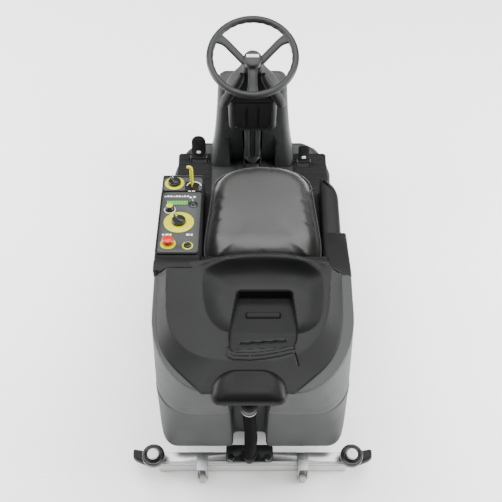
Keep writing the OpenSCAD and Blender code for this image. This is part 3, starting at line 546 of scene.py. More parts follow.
# ---- tanks ----
def tank_ring(z, w, rear, front, rx, ry, notch, floor, soft=16):
    """One level of a tank wall: rounded front corners, elliptical rear ones and the hose channel's notch."""
    r = 12
    pts = [(w - r - 2 * (w - r) * i / 8, front) for i in range(9)]
    pts += [(-w + r - r * math.sin(a), front - r + r * math.cos(a)) for a in (0.5, 1.05)]
    pts += [(-w, front - r + (rear + ry - front + r) * i / 9) for i in range(9)]
    corner = [(math.cos(math.pi / 2 * i / 14), math.sin(math.pi / 2 * i / 14)) for i in range(15)]
    pts += [(-(w - rx) - rx * c, rear + ry - ry * s) for c, s in corner]
    n0, n1 = notch
    depth = max(floor - rear, 0)
    k = min(soft, depth / 2) if depth else 0
    edge0, edge1 = n0 - soft, n1 + soft
    pts += [(-(w - rx) + (edge0 + w - rx) * i / 4, rear) for i in (1, 2, 3)]
    pts += [(edge0, rear), (n0 - soft * 0.3, rear + k * 0.3), (n0, rear + k), (n0, floor - k if depth else rear),
            (n0 + soft * 0.3, (floor if depth else rear) - k * 0.3), (n0 + soft, floor if depth else rear)]
    pts += [(n0 + soft + (n1 - n0 - 2 * soft) * i / 4, floor if depth else rear) for i in (1, 2, 3)]
    pts += [(n1 - soft, floor if depth else rear), (n1 - soft * 0.3, (floor if depth else rear) - k * 0.3),
            (n1, floor - k if depth else rear), (n1, rear + k), (n1 + soft * 0.3, rear + k * 0.3), (edge1, rear)]
    pts += [(edge1 + (w - rx - edge1) * i / 4, rear) for i in (1, 2, 3)]
    pts += [((w - rx) + rx * c, rear + ry - ry * s) for c, s in reversed(corner)]
    pts += [(w, rear + ry + (front - r - rear - ry) * i / 9) for i in range(1, 10)]
    pts += [(w - r + r * math.sin(a), front - r + r * math.cos(a)) for a in (1.05, 0.5)]
    return [(x, y, z) for x, y in pts]


def latch_pockets():
    return [block(x, (-571, -539), (529, 615), 0) for x in ((-350, -328), (328, 350))]


def fresh_water_tank():
    rings = []
    foot = [(190, 16), (192, 9), (197, 4), (206, 1)]
    walls = [(z, 0) for z in (222, 260, 300, 345, 390, 430, 480, 530, 549)]
    for z, k in foot + walls + [(554, 1), (557, 3.5)]:
        # the rear corners tighten towards the floor, under a soft crease
        t = swell((z - 250) / 300)
        rings.append(tank_ring(z, 345 - k, -692 + k, 215 - k, 62 + 50 * t - k, 66 + 56 * t - k,
                               (-74 - k, 50 + k), -634 + k, 14 + 8 * t))
    shell = skin(rings)
    arches = [lathe([(166, 0), (166, 150)], at(x, -420, 150) @ TO_RIGHT, 96) for x in (-355, 205)]
    cut(shell, block((-400, 400), (-165, 230), (100, 246), 0), block((-205, 205), (-630, 230), (90, 238.3), 0),
        block((-200, 200), (-340, 205), (80, 549), 0), *arches, *latch_pockets())
    ease(shell, 3, 2, 40)
    neck = lathe([(26, -4), (26, 15), (30.5, 15), (32, 13), (32, 11), (30.6, 10), (32, 9), (32, 7), (30.6, 6),
                  (32, 5), (32, 3), (36, 0), (36, -4)], at(-275, 214, 430) @ TO_FRONT, 48)
    pins = [lathe([(3, -16), (3, 16)], at(s * 336, -555, 546) @ TO_REAR, 16) for s in (-1, 1)]
    name_up(join(shell, neck, *pins), "lower_tank_shell", tank_grey, "machine", "fresh_water_tank")


def recovery_tank():
    def rise(z):
        return (z - 558) / 284

    def level(z, k=0.0):
        t = rise(z)
        bulge = 3 * math.sin(math.pi * np.clip(t, 0, 1))
        return dict(w=345 - 5 * t - k, rear=-702 - 40 * t + k - bulge * 0.3, front=-304 - k,
                    rx=130 + 85 * t - k, ry=150 + 140 * t - k)

    rings = []
    for z, k in [(SPLIT_Z, 4), (560, 1)] + [(z, 0) for z in (565, 600, 650, 700, 750, 790, 812)]:
        flare = 13 * (z - 558) / 266
        rings.append(tank_ring(z, notch=(-74 - flare, 50 + flare), floor=-648, soft=22 + 6 * rise(z), **level(z, k)))
    for z, k in ((824, 0), (836, 0), (841, 2), (842, 6)):
        rings.append(tank_ring(z, notch=(-87, 63), floor=-2000, **level(z, k)))
    for z in (842, 823):
        rings.append(tank_ring(z, 290, -628, -320, 150, 200, (-70, 46), -2000))
    for z, k in ((822, 8), (700, 8), (566, 10)):
        rings.append(tank_ring(z, notch=(-95, 71), floor=-640, **level(z, k)))
    shell = skin(rings)
    cut(shell, *latch_pockets())
    lugs = []
    for s in (-1, 1):
        x = REAR_X + s * 89
        lugs.append(block((x - 5, x + 5), (-774, -728), (824, 840), 3))
        lugs.append(lathe([(4, -12), (4, 12)], at(REAR_X + s * 82, -772, 832) @ TO_RIGHT, 20))
        lugs.append(lathe([(8, -5), (8, 5)], at(x, -772, 832) @ TO_RIGHT, 24))
    name_up(join(shell, *lugs), "upper_tank_shell", tank_grey, "machine", "recovery_tank", smooth=40)


# ---- lid: one moulded skin with a crest, a scoop and a tray ----
# its two edges as (y, x) and the crest's line as (x, y)
LID_LEFT = [(-742, -164), (-721, -180), (-701, -200), (-661, -250), (-600, -296), (-522, -316), (-466, -320),
            (-246, -322)]
LID_RIGHT = [(-742, 130), (-726, 143), (-711, 162), (-676, 212), (-626, 256), (-575, 281), (-466, 298),
             (-246, 302)]
CREST = [(-400, -306), (-205, -306), (-173, -304), (-130, -292), (-91, -281), (-42, -275), (31, -271), (110, -273),
         (152, -278), (196, -298), (232, -306), (400, -306)]


def between(pairs, t):
    """The second value of the pairs where the first one is t."""
    return np.interp(t, [p[0] for p in pairs], [p[1] for p in pairs])


def round_distance(x, y, x0, x1, y0, y1, r):
    """Distance to a rounded rectangle, negative inside it. Its sides may lean with y."""
    dx = np.maximum(x0 - x, x - x1) + r
    dy = np.maximum(y0 - y, y - y1) + r
    return np.hypot(np.maximum(dx, 0), np.maximum(dy, 0)) + np.minimum(np.maximum(dx, dy), 0) - r


def share(x, y, centre, loop):
    """How far out a point lies between the centre, 0, and a closed outline, 1."""
    angle = [math.atan2(py - centre[1], px - centre[0]) for px, py in loop]
    reach = [math.hypot(px - centre[0], py - centre[1]) for px, py in loop]
    order = sorted(range(len(loop)), key=lambda i: angle[i])
    a = np.array([angle[i] for i in order])
    r = np.array([reach[i] for i in order])
    a = np.concatenate([a - 2 * math.pi, a, a + 2 * math.pi])
    return np.hypot(x - centre[0], y - centre[1]) / np.interp(
        np.arctan2(y - centre[1], x - centre[0]), a, np.tile(r, 3))


def thick(points, n=10, rounds=24):
    """The outline with points put in between and its corners worn round."""
    out = []
    for (x0, y0), (x1, y1) in zip(points, points[1:] + points[:1]):
        out += [(x0 + (x1 - x0) * i / n, y0 + (y1 - y0) * i / n) for i in range(n)]
    line = np.array(out)
    for _ in range(rounds):
        line = (np.roll(line, 1, axis=0) + 2 * line + np.roll(line, -1, axis=0)) / 4
    return [tuple(p) for p in line]


def worn(pairs, n=9, rounds=40):
    """An open edge with its corners worn round and its ends kept."""
    run = np.linspace(pairs[0][0], pairs[-1][0], n * len(pairs))
    line = between(pairs, run)
    for _ in range(rounds):
        line[1:-1] = (line[:-2] + 2 * line[1:-1] + line[2:]) / 4
    return [(float(a), float(b)) for a, b in zip(run, line)]


def line_distance(x, y, a, b):
    """Distance to the straight line from a to b."""
    dx, dy = b[0] - a[0], b[1] - a[1]
    t = np.clip(((x - a[0]) * dx + (y - a[1]) * dy) / (dx ** 2 + dy ** 2), 0, 1)
    return np.hypot(x - a[0] - t * dx, y - a[1] - t * dy)


LID_LEFT, LID_RIGHT, CREST = worn(LID_LEFT), worn(LID_RIGHT), worn(CREST)


def lid_height(x, y):
    """Height of the lid's upper face: flat, sloping apron, crest, scoop and tray."""
    flat = 884 + (y + 340) * 0.04
    edges = [(b, a) for a, b in LID_LEFT[::-1] + LID_RIGHT]
    outer = thick(edges + [(302, -120), (-322, -120)], 4, 2)
    inner = thick([(-292, -246), (-292, -340), (-286, -487), (-261, -558), (-212, -609), (-156, -633), (-86, -642),
                   (20, -644), (90, -640), (160, -617), (217, -558), (250, -476), (262, -339), (264, -246),
                   (264, -120), (-292, -120)])
    out_share = share(x, y, (-12, -430), outer)
    in_share = share(x, y, (-12, -430), inner)
    apron = np.clip((in_share - 1) / np.maximum(in_share / np.maximum(out_share, 1e-6) - 1, 1e-3), 0, 1)
    z = flat - (flat - 847) * apron
    crest = between(CREST, x)
    lift = 30 * swell((x + 196) / 120) * swell((262 - x) / 90)
    ahead = y - crest
    z = z + lift * np.exp(-(np.where(ahead > 0, ahead / 9, ahead / 26)) ** 2)
    # scoop behind the crest
    rim = thick([(-173, -312), (-172, -380), (-165, -436), (-150, -492), (-120, -528), (-88, -548), (36, -556),
                 (161, -552), (196, -534), (223, -508), (234, -460), (240, -380), (241, -330), (196, -304),
                 (152, -285), (31, -278), (-42, -282), (-91, -288), (-130, -299)])
    within = share(x, y, (36, -430), rim)
    wide = 0.34 + 0.26 * swell((y + 420) / 90)
    scoop = 853 + (z - 853) * (1 - np.clip((1 - within) / wide, 0, 1)) ** 1.8
    z = np.where(within < 1, scoop, z)
    # tray in the scoop, its floor rising to the rear
    left = between(worn([(-640, -78), (-600, -82), (-545, -86), (-370, -57)]), y)
    right = between(worn([(-640, 118), (-600, 140), (-545, 157), (-372, 137)]), y)
    wall = round_distance(x, y, left, right, -609 + 14 * np.clip((x + 60) / 200, 0, 1), -372, 16)
    floor = np.interp(-y, [372, 395, 530, 612], [806, 808, 841, 857])
    floor = floor + 9 * swell(-round_distance(x, y, -23, 93, -467, -443, 5) / 5)
    z = z + (np.minimum(floor, z) - z) * swell(-wall / 5.5)
    z = z - 5 * swell(1.4 - line_distance(x, y, (-41, -573), (109, -562)) / 5)
    # two raised lips behind the tray and the line of its hinge
    lip = [(-82, -606), (-76, -616), (-62, -622), (-10, -624), (36, -620), (84, -611), (132, -598)]
    for shift, height in ((0, 4.5), (-12, 3.5)):
        moved = [(a, b + shift) for a, b in lip]
        for a, b in zip(moved, moved[1:]):
            z = z + np.maximum(flat + height - z, 0) * swell(1.5 - line_distance(x, y, a, b) / 5)
    z = z - 4 * swell(1.4 - line_distance(x, y, (131, -602), (146, -656)) / 4)
    return z


def tank_lid():
    columns, rows = 230, 180
    u = np.linspace(0, 1, columns + 1)
    v = np.linspace(-246, -742, rows + 1)
    X, Y = np.meshgrid(u, v)
    X = between(LID_LEFT, Y) + (between(LID_RIGHT, Y) - between(LID_LEFT, Y)) * X
    front = between([(p[0], min(p[1] + 24 * (p[1] > -305), -247)) for p in CREST], X)
    Y = np.where(Y > -340, front + (Y + 246) / 94 * (front + 340), Y)
    Z = lid_height(X, Y)
    part = skin(np.stack([X, Y, Z], axis=2), caps=False, loop=False)
    edit(part, lambda c, n: abs(c.x - REAR_X) < 88 and c.y < -700)
    bpy.ops.mesh.delete(type="FACE")
    bpy.ops.mesh.select_mode(type="EDGE")
    bpy.ops.mesh.select_non_manifold()
    bpy.ops.mesh.extrude_region_move()
    done()
    for vertex in part.data.vertices:
        if vertex.select:
            vertex.co.z = 0.8432
            if vertex.co.y > -0.304:
                vertex.co.y = -0.304
    edit(part)
    bpy.ops.mesh.normals_make_consistent(inside=False)
    done()
    if max(part.data.polygons, key=lambda p: p.area).normal.z < 0:
        edit(part)
        bpy.ops.mesh.flip_normals()
        done()
    apply(part, "SOLIDIFY", thickness=4 * MM, offset=-1)
    name_up(part, "scoop_lid", shell_black, "lid", "tank_lid", smooth=28)
    # rubber seal that shows as a dark line under the lid's edge
    line = [(x, y) for y, x in LID_LEFT[::-1]] + [(-142, -742), (-141, -668), (117, -668), (118, -742)]
    line += [(x, y) for y, x in LID_RIGHT] + [(x, -303) for x in (300, 240, -200, -320)]
    line = thick([p for p in line if p[1] < -300], 4, 1)
    seal = tube([(x, y, 845.6) for x, y in line + line[:1]], 4.2, sides=10)
    fronts = [tube(p, 3.4, sides=10) for p in (
        [(-320, -303, 858), (-308, -302.4, 876), (-294, -302.2, 886.4), (-250, -302.2, 888), (-206, -302.2, 888.6)],
        [(234, -302.2, 889), (262, -302.2, 886), (284, -302.4, 872), (299, -303, 856)])]
    name_up(join(seal, *fronts), "lid_seal", rubber_black, "lid", smooth=60)


def rear_cap():
    # Domed cover over the hose channel: round towards the lid, squarer at the back.
    def plan(half, back, front, r_front, r_back, n=10):
        out = []
        ahead, behind = front - r_front * 0.8, back + r_back
        for cx, cy, r, start in ((half - r_front, ahead, r_front, 0), (-half + r_front, ahead, r_front, 90),
                                 (-half + r_back, behind, r_back, 180), (half - r_back, behind, r_back, 270)):
            deep = 0.8 if start < 180 else 1
            out += [(REAR_X + cx + r * math.cos(math.radians(start + 90 * i / n)),
                     cy + r * deep * math.sin(math.radians(start + 90 * i / n))) for i in range(n + 1)]
        return out

    rings = []
    for z, k, b in ((842.6, 3, 1), (844, 0, 0), (850, 1, 0.5), (858, 5, 2), (866, 10, 4), (873, 16, 7),
                    (879, 23, 11), (883.5, 31, 16), (886.6, 40, 22), (888, 50, 29), (887.6, 60, 35),
                    (886.8, 68, 41)):
        # the crown falls away towards the back
        rings.append([(x, y, z - 9 * swell((-702 - y) / 80) * swell((z - 862) / 26)) for x, y in
                      plan(122 - k, -784 + b, -667 - k * 0.42, 84 - k * 0.9, 30 - k * 0.25)])
    cap = skin(rings)
    hollow = slab(REAR_X - 100, REAR_X + 100, -770, -694, 836, 858, 24)
    cut(cap, hollow)
    groove = slab(REAR_X - 46, REAR_X + 46, -765, -761, 862, 874.4, 1.8, 0.7)
    lugs = []
    for s in (-1, 1):
        x = REAR_X + s * 77
        lugs.append(lathe([(5, -6), (9, -6), (9, 6), (5, 6)], at(x, -772, 832) @ TO_RIGHT, 24))
        lugs.append(block((x - 6, x + 6), (-778, -766), (836, 868), 1.5))
    # the cap's near-black coat is painted shade
    name_up(join(cap, groove, *lugs), "rear_cover_cap", cap_black_painted_shade, "lid", "rear_cap")


# ---- console beside and behind the seat ----
def seat_console():
    def face(y):
        return PANEL_Z - y * math.tan(SLOPE)

    left = along_x(-345, -187, [(-300, SPLIT_Z), (215, SPLIT_Z), (215, face(215) - 18), (207, face(207) - 6),
                                (196, face(196) - 3.4), (-226, face(-226) - 3.4), (-240, 842), (-252, 853),
                                (-266, 858), (-300, 858)], 7, 4)
    # raised frame round the main panel
    rim = slab(-344, -188.5, -228, 113, 0, 9, 14, 3)
    rim = put(rim, on_panel(0, 0) @ at(0, 0, -4.5))
    well = slab(-338.4, -191.6, -221, 107, -6, 12, 12, 0.4)
    cut(rim, put(well, on_panel(0, 0)))
    # right arm: a tall rear block and a lower rounded tier ahead of it
    right = along_x(263, 345, [(-300, SPLIT_Z), (-62, SPLIT_Z), (-62, 738), (-72, 746), (-150, 773), (-240, 807),
                               (-300, 820)], 9, 4)
    tier = []
    for z, k in ((SPLIT_Z, 0), (640, 0), (688, 0), (700, 1.5), (708, 5), (713, 10), (716, 18)):
        plan = [(263 + k, -70), (330 - k, -70), (330 - k, 60)]
        plan += [(258 + (72 - k) * math.cos(math.radians(a)), 110 + (100 - k) * math.sin(math.radians(a)))
                 for a in range(0, 86, 8)]
        plan += [(263 + k, 211 - k)]
        tier.append([(x, y, z + (12 - y * 0.07) * swell((z - 600) / 90)) for x, y in plan])
    tier = skin(tier)
    shelf = along_x(-188, 264, [(-300, SPLIT_Z), (-196, SPLIT_Z), (-196, 770), (-200, 792), (-214, 806),
                                (-300, 826)], 5, 3)
    floor = block((-188, 264), (-300, 214), (SPLIT_Z, 606), 3)
    rails = [block((x - 12, x + 12), (-130, 190), (606, 615), 2) for x in (SEAT_X - 130, SEAT_X + 130)]
    vents = [block((-345.6, -344), (30 + 16 * i, 40 + 16 * i), (600, 668), 0.6) for i in range(8)]
    console = join(left, rim, right, tier, shelf, floor, *rails, *vents)
    name_up(console, "console_shell", shell_black, "machine", "seat_console")


def seat_cushion():
    # Foam cushion in a vinyl cover: a crowned form with a rolled border and a shallow dished middle.
    def plan(k, n=96):
        a = 221 - k
        pts = [(-a, -60), (-a, -122), (-a + 6, -142), (-a + 20, -156), (-a + 44, -164 + k), (0, -166 + k),
               (a - 44, -164 + k), (a - 20, -156), (a - 6, -142), (a, -122), (a, -60), (a - 26, 196 - k)]
        pts += [((a - 26) * math.sin(math.radians(s * 15.6)), 196 + 98 * math.cos(math.radians(s * 15.6)) - k)
                for s in (5, 4, 3, 2, 1, 0, -1, -2, -3, -4, -5)]
        pts += [(-a + 26, 196 - k)]
        loop = pts + pts[:1]
        run = np.concatenate([[0], np.cumsum([math.dist(p, q) for p, q in zip(loop, loop[1:])])])
        even = np.linspace(0, run[-1], n, endpoint=False)
        line = np.stack([np.interp(even, run, [p[i] for p in loop]) for i in (0, 1)], axis=1)
        for _ in range(3):
            line = (np.roll(line, 1, axis=0) + 2 * line + np.roll(line, -1, axis=0)) / 4
        return line

    border = [(641, 26), (641.6, 18), (648, 8), (656, 2), (662, 0), (666, 2), (668, 6), (677, 10), (689, 15),
              (700, 20), (709, 26), (715, 33)]
    crown = [(719, 0.96), (721.5, 0.91), (722.5, 0.85), (722.3, 0.77), (721.2, 0.66), (719.8, 0.52),
             (718.8, 0.36), (718.3, 0.18)]
    rings = []
    for z, k, far in [(z, k, 1) for z, k in border] + [(z, 33, far) for z, far in crown]:
        # towards the back the border drops away, lowest at the corners
        ring = []
        for x, y in plan(k):
            drop = 13 * swell((z - 676) / 34) * swell((-70 - 62 - (y - 62) * far) / 70)
            corner = 0.55 + 0.45 * swell((abs(x * far) - 120) / 80)
            ring.append((SEAT_X + x * far, 62 + (y - 62) * far, z - drop * corner))
        rings.append(ring)
    pad = skin(rings)
    apply(pad, "REMESH", mode="VOXEL", voxel_size=0.006)
    rest = np.array([v.co for v in pad.data.vertices])
    just(pad)
    cloth = pad.modifiers.new("stuffing", "CLOTH")
    cloth.settings.use_pressure = True
    cloth.settings.uniform_pressure_force = 4
    cloth.settings.effector_weights.gravity = 0
    cloth.settings.tension_stiffness = cloth.settings.compression_stiffness = 40
    cloth.collision_settings.use_collision = False
    for moment in range(1, 21):
        bpy.context.scene.frame_set(moment)
    seen = pad.evaluated_get(bpy.context.evaluated_depsgraph_get()).data
    swollen = np.array([v.co for v in seen.vertices])
    bpy.context.scene.frame_set(1)
    pad.modifiers.clear()
    move = swollen - rest
    length = np.linalg.norm(move, axis=1, keepdims=True)
    # the stuffing may move the cover by 5 mm and stays inside the cushion's height
    move *= np.minimum(1, 0.005 / np.maximum(length, 1e-9))
    co = rest + move
    co[:, 2] = np.clip(co[:, 2], 0.6405, 0.7295)
    pad.data.vertices.foreach_set("co", co.ravel())
    apply(pad, "SUBSURF", levels=1, render_levels=1)
    # piping that closes the cover
    edge = [(SEAT_X + x, y, 665.5) for x, y in plan(2.5, 120)]
    piping = tube(edge + edge[:1], 3.4, sides=10)
    name_up(pad, "seat_cushion_cover", vinyl, "seat", "seat_cushion", smooth=60)
    name_up(piping, "seat_piping", vinyl, "seat", smooth=60)


# ---- floor, tower and column ----
def footboard():
    plan = [(346, 219), (357, 600), (334, 690), (292, 750), (236, 783)]

    def outline(k):
        pts = [(x - k, y + (k if y < 300 else -k)) for x, y in plan]
        pts += [(-x, y) for x, y in reversed(pts)]
        soft = []
        for i, p in enumerate(pts):
            a, b, c = (Vector(q) for q in (pts[i - 1], p, pts[(i + 1) % len(pts)]))
            p0, p1 = b + (a - b).normalized() * 10, b + (c - b).normalized() * 10
            soft += [tuple(p0 * (1 - t) ** 2 + b * 2 * t * (1 - t) + p1 * t * t) for t in (0, 0.33, 0.67, 1)]
        return soft

    rings = []
    for z, k in ((168, 8), (163, 7), (162, 4), (163, 1.5), (167, 0), (208, 0), (216, 1), (220, 3.5), (221.6, 7),
                 (221.9, 12), (219, 15), (219, 16)):
        rings.append([(x, y, z) for x, y in outline(k)])
    board = join(skin(rings[4:]), skin(rings[:5], caps=False))
    feet = []
    for x, y, half in ((-246, 673, 34), (236, 650, 27)):
        for s in (-1, 1):
            side = x + s * (half + 3)
            feet.append(block((side - 3, side + 3), (y - 9, y + 9), (218, 254), 2))
        feet.append(lathe([(4, -half - 3), (4, half + 3)], at(x, y, 244) @ TO_RIGHT, 20))
    name_up(join(board, *feet), "footwell_floor", tank_grey, "machine", "footboard")


def front_tower():
    def ring(t, k):
        low = [Vector((x, y, 222.5)) for x, y in rounded(-183 + k, 183 - k, 640 + k, 783 - k, 30, 8)]
        lean = in_column()
        high = [lean @ Vector((x * MM, d * MM, 0.562)) / MM
                for x, d in rounded(-137 + k, 137 - k, 42 + k, 134 - k, 26, 8)]
        out = 8 * (1 - t) ** 6 - 4 * math.sin(math.pi * t)
        return [tuple(a.lerp(b, t) + Vector(((a.x > 0) * 2 - 1, 0, 0)) * out) for a, b in zip(low, high)]

    rings = [ring(t, 0) for t in (0, 0.02, 0.05, 0.1, 0.2, 0.3, 0.4, 0.5, 0.6, 0.7, 0.8, 0.88, 0.93)]
    rings += [ring(t, k) for t, k in ((0.955, 3), (0.972, 7), (0.985, 13), (0.994, 20), (0.999, 28))]
    shell = skin(rings)
    # a wide shallow bay, a channel for the column tube and a deep seat for its housing
    for x, y, z, r in (((-104, 104), (-220, 2), (-110, 720), 14), ((-42, 42), (-60, 40), (-110, 720), 8),
                       ((-102, 102), (-60, 56), (322, 720), 12)):
        bay = block(x, y, z, 0)
        ease(bay, r, 4)
        bay.matrix_world = in_column()
        settle(bay)
        cut(shell, bay)
    ease(shell, 7, 3, 42)
    name_up(shell, "tower_shell", tank_grey, "machine", "front_tower")


def column_parts():
    rings = []
    for s, k in ((335, 26), (337, 16), (342, 8), (350, 3), (362, 0), (450, 0), (560, 0), (590, 1), (598, 4),
                 (602, 9), (604, 16)):
        rings.append([(x, d, s) for x, d in rounded(-98 + k, 98 - k, -46 + k * 0.6, 50 - k * 0.6, 24, 6)])
    box = put(skin(rings), in_column())
    plate = slab(-76, 76, 372, 586, -4, 20, 22, 2.5)
    cut(box, put(plate, in_column(d=-46) @ TO_REAR))
    name_up(box, "column_housing_shell", shell_black, "machine", "column_housing")
    rings = []
    for s, x, d0, d1, r in ((612, 100, -48, 40, 22), (614, 105, -52, 44, 24), (620, 108, -54, 46, 26),
                            (650, 98, -54, 46, 26), (690, 82, -52, 44, 24), (740, 56, -46, 41, 24),
                            (790, 37, -36, 36, 20), (808, 33, -33, 34, 18), (815, 30, -29, 30, 16),
                            (817.5, 25, -24, 24, 14)):
        rings.append([(a, d, s) for a, d in rounded(-x, x, d0, d1, r, 6)])
    cover = skin(rings)
    ease(cover, 3, 2, 42)
    # a swelling tube down each side, as (x, forward, up the column, radius)
    side = [(112, -52, 603, 6), (112, -53, 606, 13), (111, -56, 613, 17.5), (108, -60, 628, 19), (99, -62, 664, 19),
            (84, -61, 704, 19), (66, -56, 742, 18), (48, -46, 778, 16), (38, -36, 800, 11)]
    ribs = [tube([(s * x, d, up) for x, d, up, _ in side], [r for *_, r in side], 24) for s in (-1, 1)]
    name_up(put(join(cover, *ribs), in_column()), "column_cover_shell", shell_black, "machine", "column_cover")
    # column tube with its black bellows foot and two bright stay rods
    post = lathe([(34, 6), (34, 554), (31, 560), (25, 562), (25, 811)], in_column(), 48)
    collar = lathe([(38, 8), (40, 12), (40, 30), (36.5, 34), (39, 40), (39, 46), (36.5, 50), (38.5, 56), (38.5, 62),
                    (35, 68)], in_column(), 48)
    name_up(join(post, collar), "column_post", powder_coat, "machine", "column_tube")
    strips = [put(slab(s * 23 - 10, s * 23 + 10, -42, -22, 70, 552, 4, 1.5), in_column()) for s in (-1, 1)]
    name_up(join(*strips), "column_guide_rails", tank_grey, "machine")


def flat_cos(q):
    """A cosine squared off, for the section of a flattened bar."""
    c = math.cos(q)
    return math.copysign(abs(c) ** 0.65, c)


def steering_wheel():
    hub = lathe([(20, -40), (33, -40), (33, -24), (34, -20), (34, -13), (32.6, -10), (30, -8.4), (22, -7),
                 (12, -6), (3, -5.6)], None, 56)
    clear()
    bpy.ops.mesh.primitive_torus_add(major_radius=0.156, minor_radius=0.013, major_segments=120, minor_segments=24)
    rim = bpy.context.object
    # a flat band inside the grip, as a moulded rim has where the thumbs rest
    co = np.empty(len(rim.data.vertices) * 3)
    rim.data.vertices.foreach_get("co", co)
    co = co.reshape(-1, 3)
    r = np.hypot(co[:, 0], co[:, 1])
    turn = np.arctan2(co[:, 1], co[:, 0])
    wave = 0.0008 * np.sin(turn * 30) * (r < 0.150)
    co[:, :2] *= ((r + wave) / r)[:, None]
    rim.data.vertices.foreach_set("co", co.ravel())
    # each spoke's middle line and half width, from the hub out
    spokes = []
    upper = [(16, -6, -32, 15), (35, 2, -30, 15), (55, 21, -23, 14.5), (75, 40, -16, 14.5), (95, 59, -9, 15),
             (108, 68, -6, 17), (122, 75, -3, 21), (133, 80, -1, 26), (140, 83, 0, 29)]
    lower = [(0, -16, -32, 17), (0, -40, -29, 17), (0, -66, -24, 16.5), (0, -92, -17, 16.5), (0, -116, -9, 17.5),
             (0, -134, -4, 20), (0, -147, -1, 26), (0, -154, 0, 31)]
    for path in (upper, [(-x, y, z, w) for x, y, z, w in upper], lower):
        rings = []
        for i, (x, y, z, w) in enumerate(path):
            ahead = Vector(path[min(i + 1, len(path) - 1)][:2]) - Vector(path[max(i - 1, 0)][:2])
            side = Vector((ahead.y, -ahead.x)).normalized() * w
            rings.append([(x + side.x * flat_cos(q), y + side.y * flat_cos(q), z + 7 * math.sin(q))
                          for q in (2 * math.pi * k / 20 for k in range(20))])
        spokes.append(skin(rings))
    wheel = put(join(rim, hub, *spokes), in_column(s=COLUMN_TOP))
    # the rim's lighter grey is partly painted highlight
    name_up(wheel, "steering_wheel_rim", wheel_grey_painted_sheen, "steering", "steering_wheel", smooth=50)
    bar = slab(-23, 23, 1, 13, -8.5, -4.4, 2.5, 0.8, in_column(s=COLUMN_TOP))
    name_up(bar, "hub_blank_plate", pale_inlay, "steering")


def pedals():
    for x, y, half, length, name, node, body in (
            (-246, 673, 32, 106, "brake_pedal_plate", "brake_pedal", "brake"),
            (236, 650, 25, 78, "drive_pedal_plate", "accelerator_pedal", "accelerator")):
        place = at(x, y, 244) @ Matrix.Rotation(math.radians(58), 4, "X")
        sleeve = lathe([(4.2, -half + 2), (7.5, -half + 2), (7.5, half - 2), (4.2, half - 2)], TO_RIGHT, 32)
        plate = slab(-half, half, 4, length, -2, 5, half - 3 if half > 30 else 11, 2.4, n=10)
        first = length * 0.42
        ribs = []
        for i in range(int((length * 0.58 - 10) / 8)):
            edge = half - 9 - 5 * (i > 5)
            ribs.append(slab(-edge, edge, first + 8 * i, first + 4.6 + 8 * i, 4.6, 6.8, 2.2, 0.8))
        web = block((-6, 6), (6, length - 20), (-7, 0), 1.5)
        body_part = put(join(sleeve, plate, web, *ribs), place)
        name_up(body_part, name, rubber_black, body, node)
        inlay = slab(-10, 10, length * 0.22, length * 0.22 + 12, 4.6, 6.2, 5.8, 0.5, place)
        name_up(inlay, name + "_inlay", pale_inlay, body)


# ---- controls ----
def knob(name, place, r, foot, height, body, node, grip=True):
    """A fluted round knob with a finger bar."""
    flutes = 24
    rings = []
    for z, k in ((foot, 1.2), (foot + 1, 0.2), (foot + height * 0.5, 0.5), (foot + height - 1.5, 1),
                 (foot + height, 2.6)):
        rings.append(wavy(flutes * 4, z, lambda i: r - k - 0.7 * (i % 4 < 2)))
    parts = [skin(rings), lathe([(4, -14), (4, foot + 2)], None, 20)]
    if grip:
        parts.append(slab(-7.5, 7.5, -r + 0.6, r - 0.6, foot + height - 1, foot + height + 9, 5, 2.6, n=6))
    part = put(join(*parts), place)
    name_up(part, name, gloss_black, body, node)
    if grip:
        mark = slab(-1, 1, r * 0.3, r - 5, foot + height + 8.6, foot + height + 9.3, 0.9, 0.3, place)
        name_up(mark, name + "_mark", pale_inlay, body)


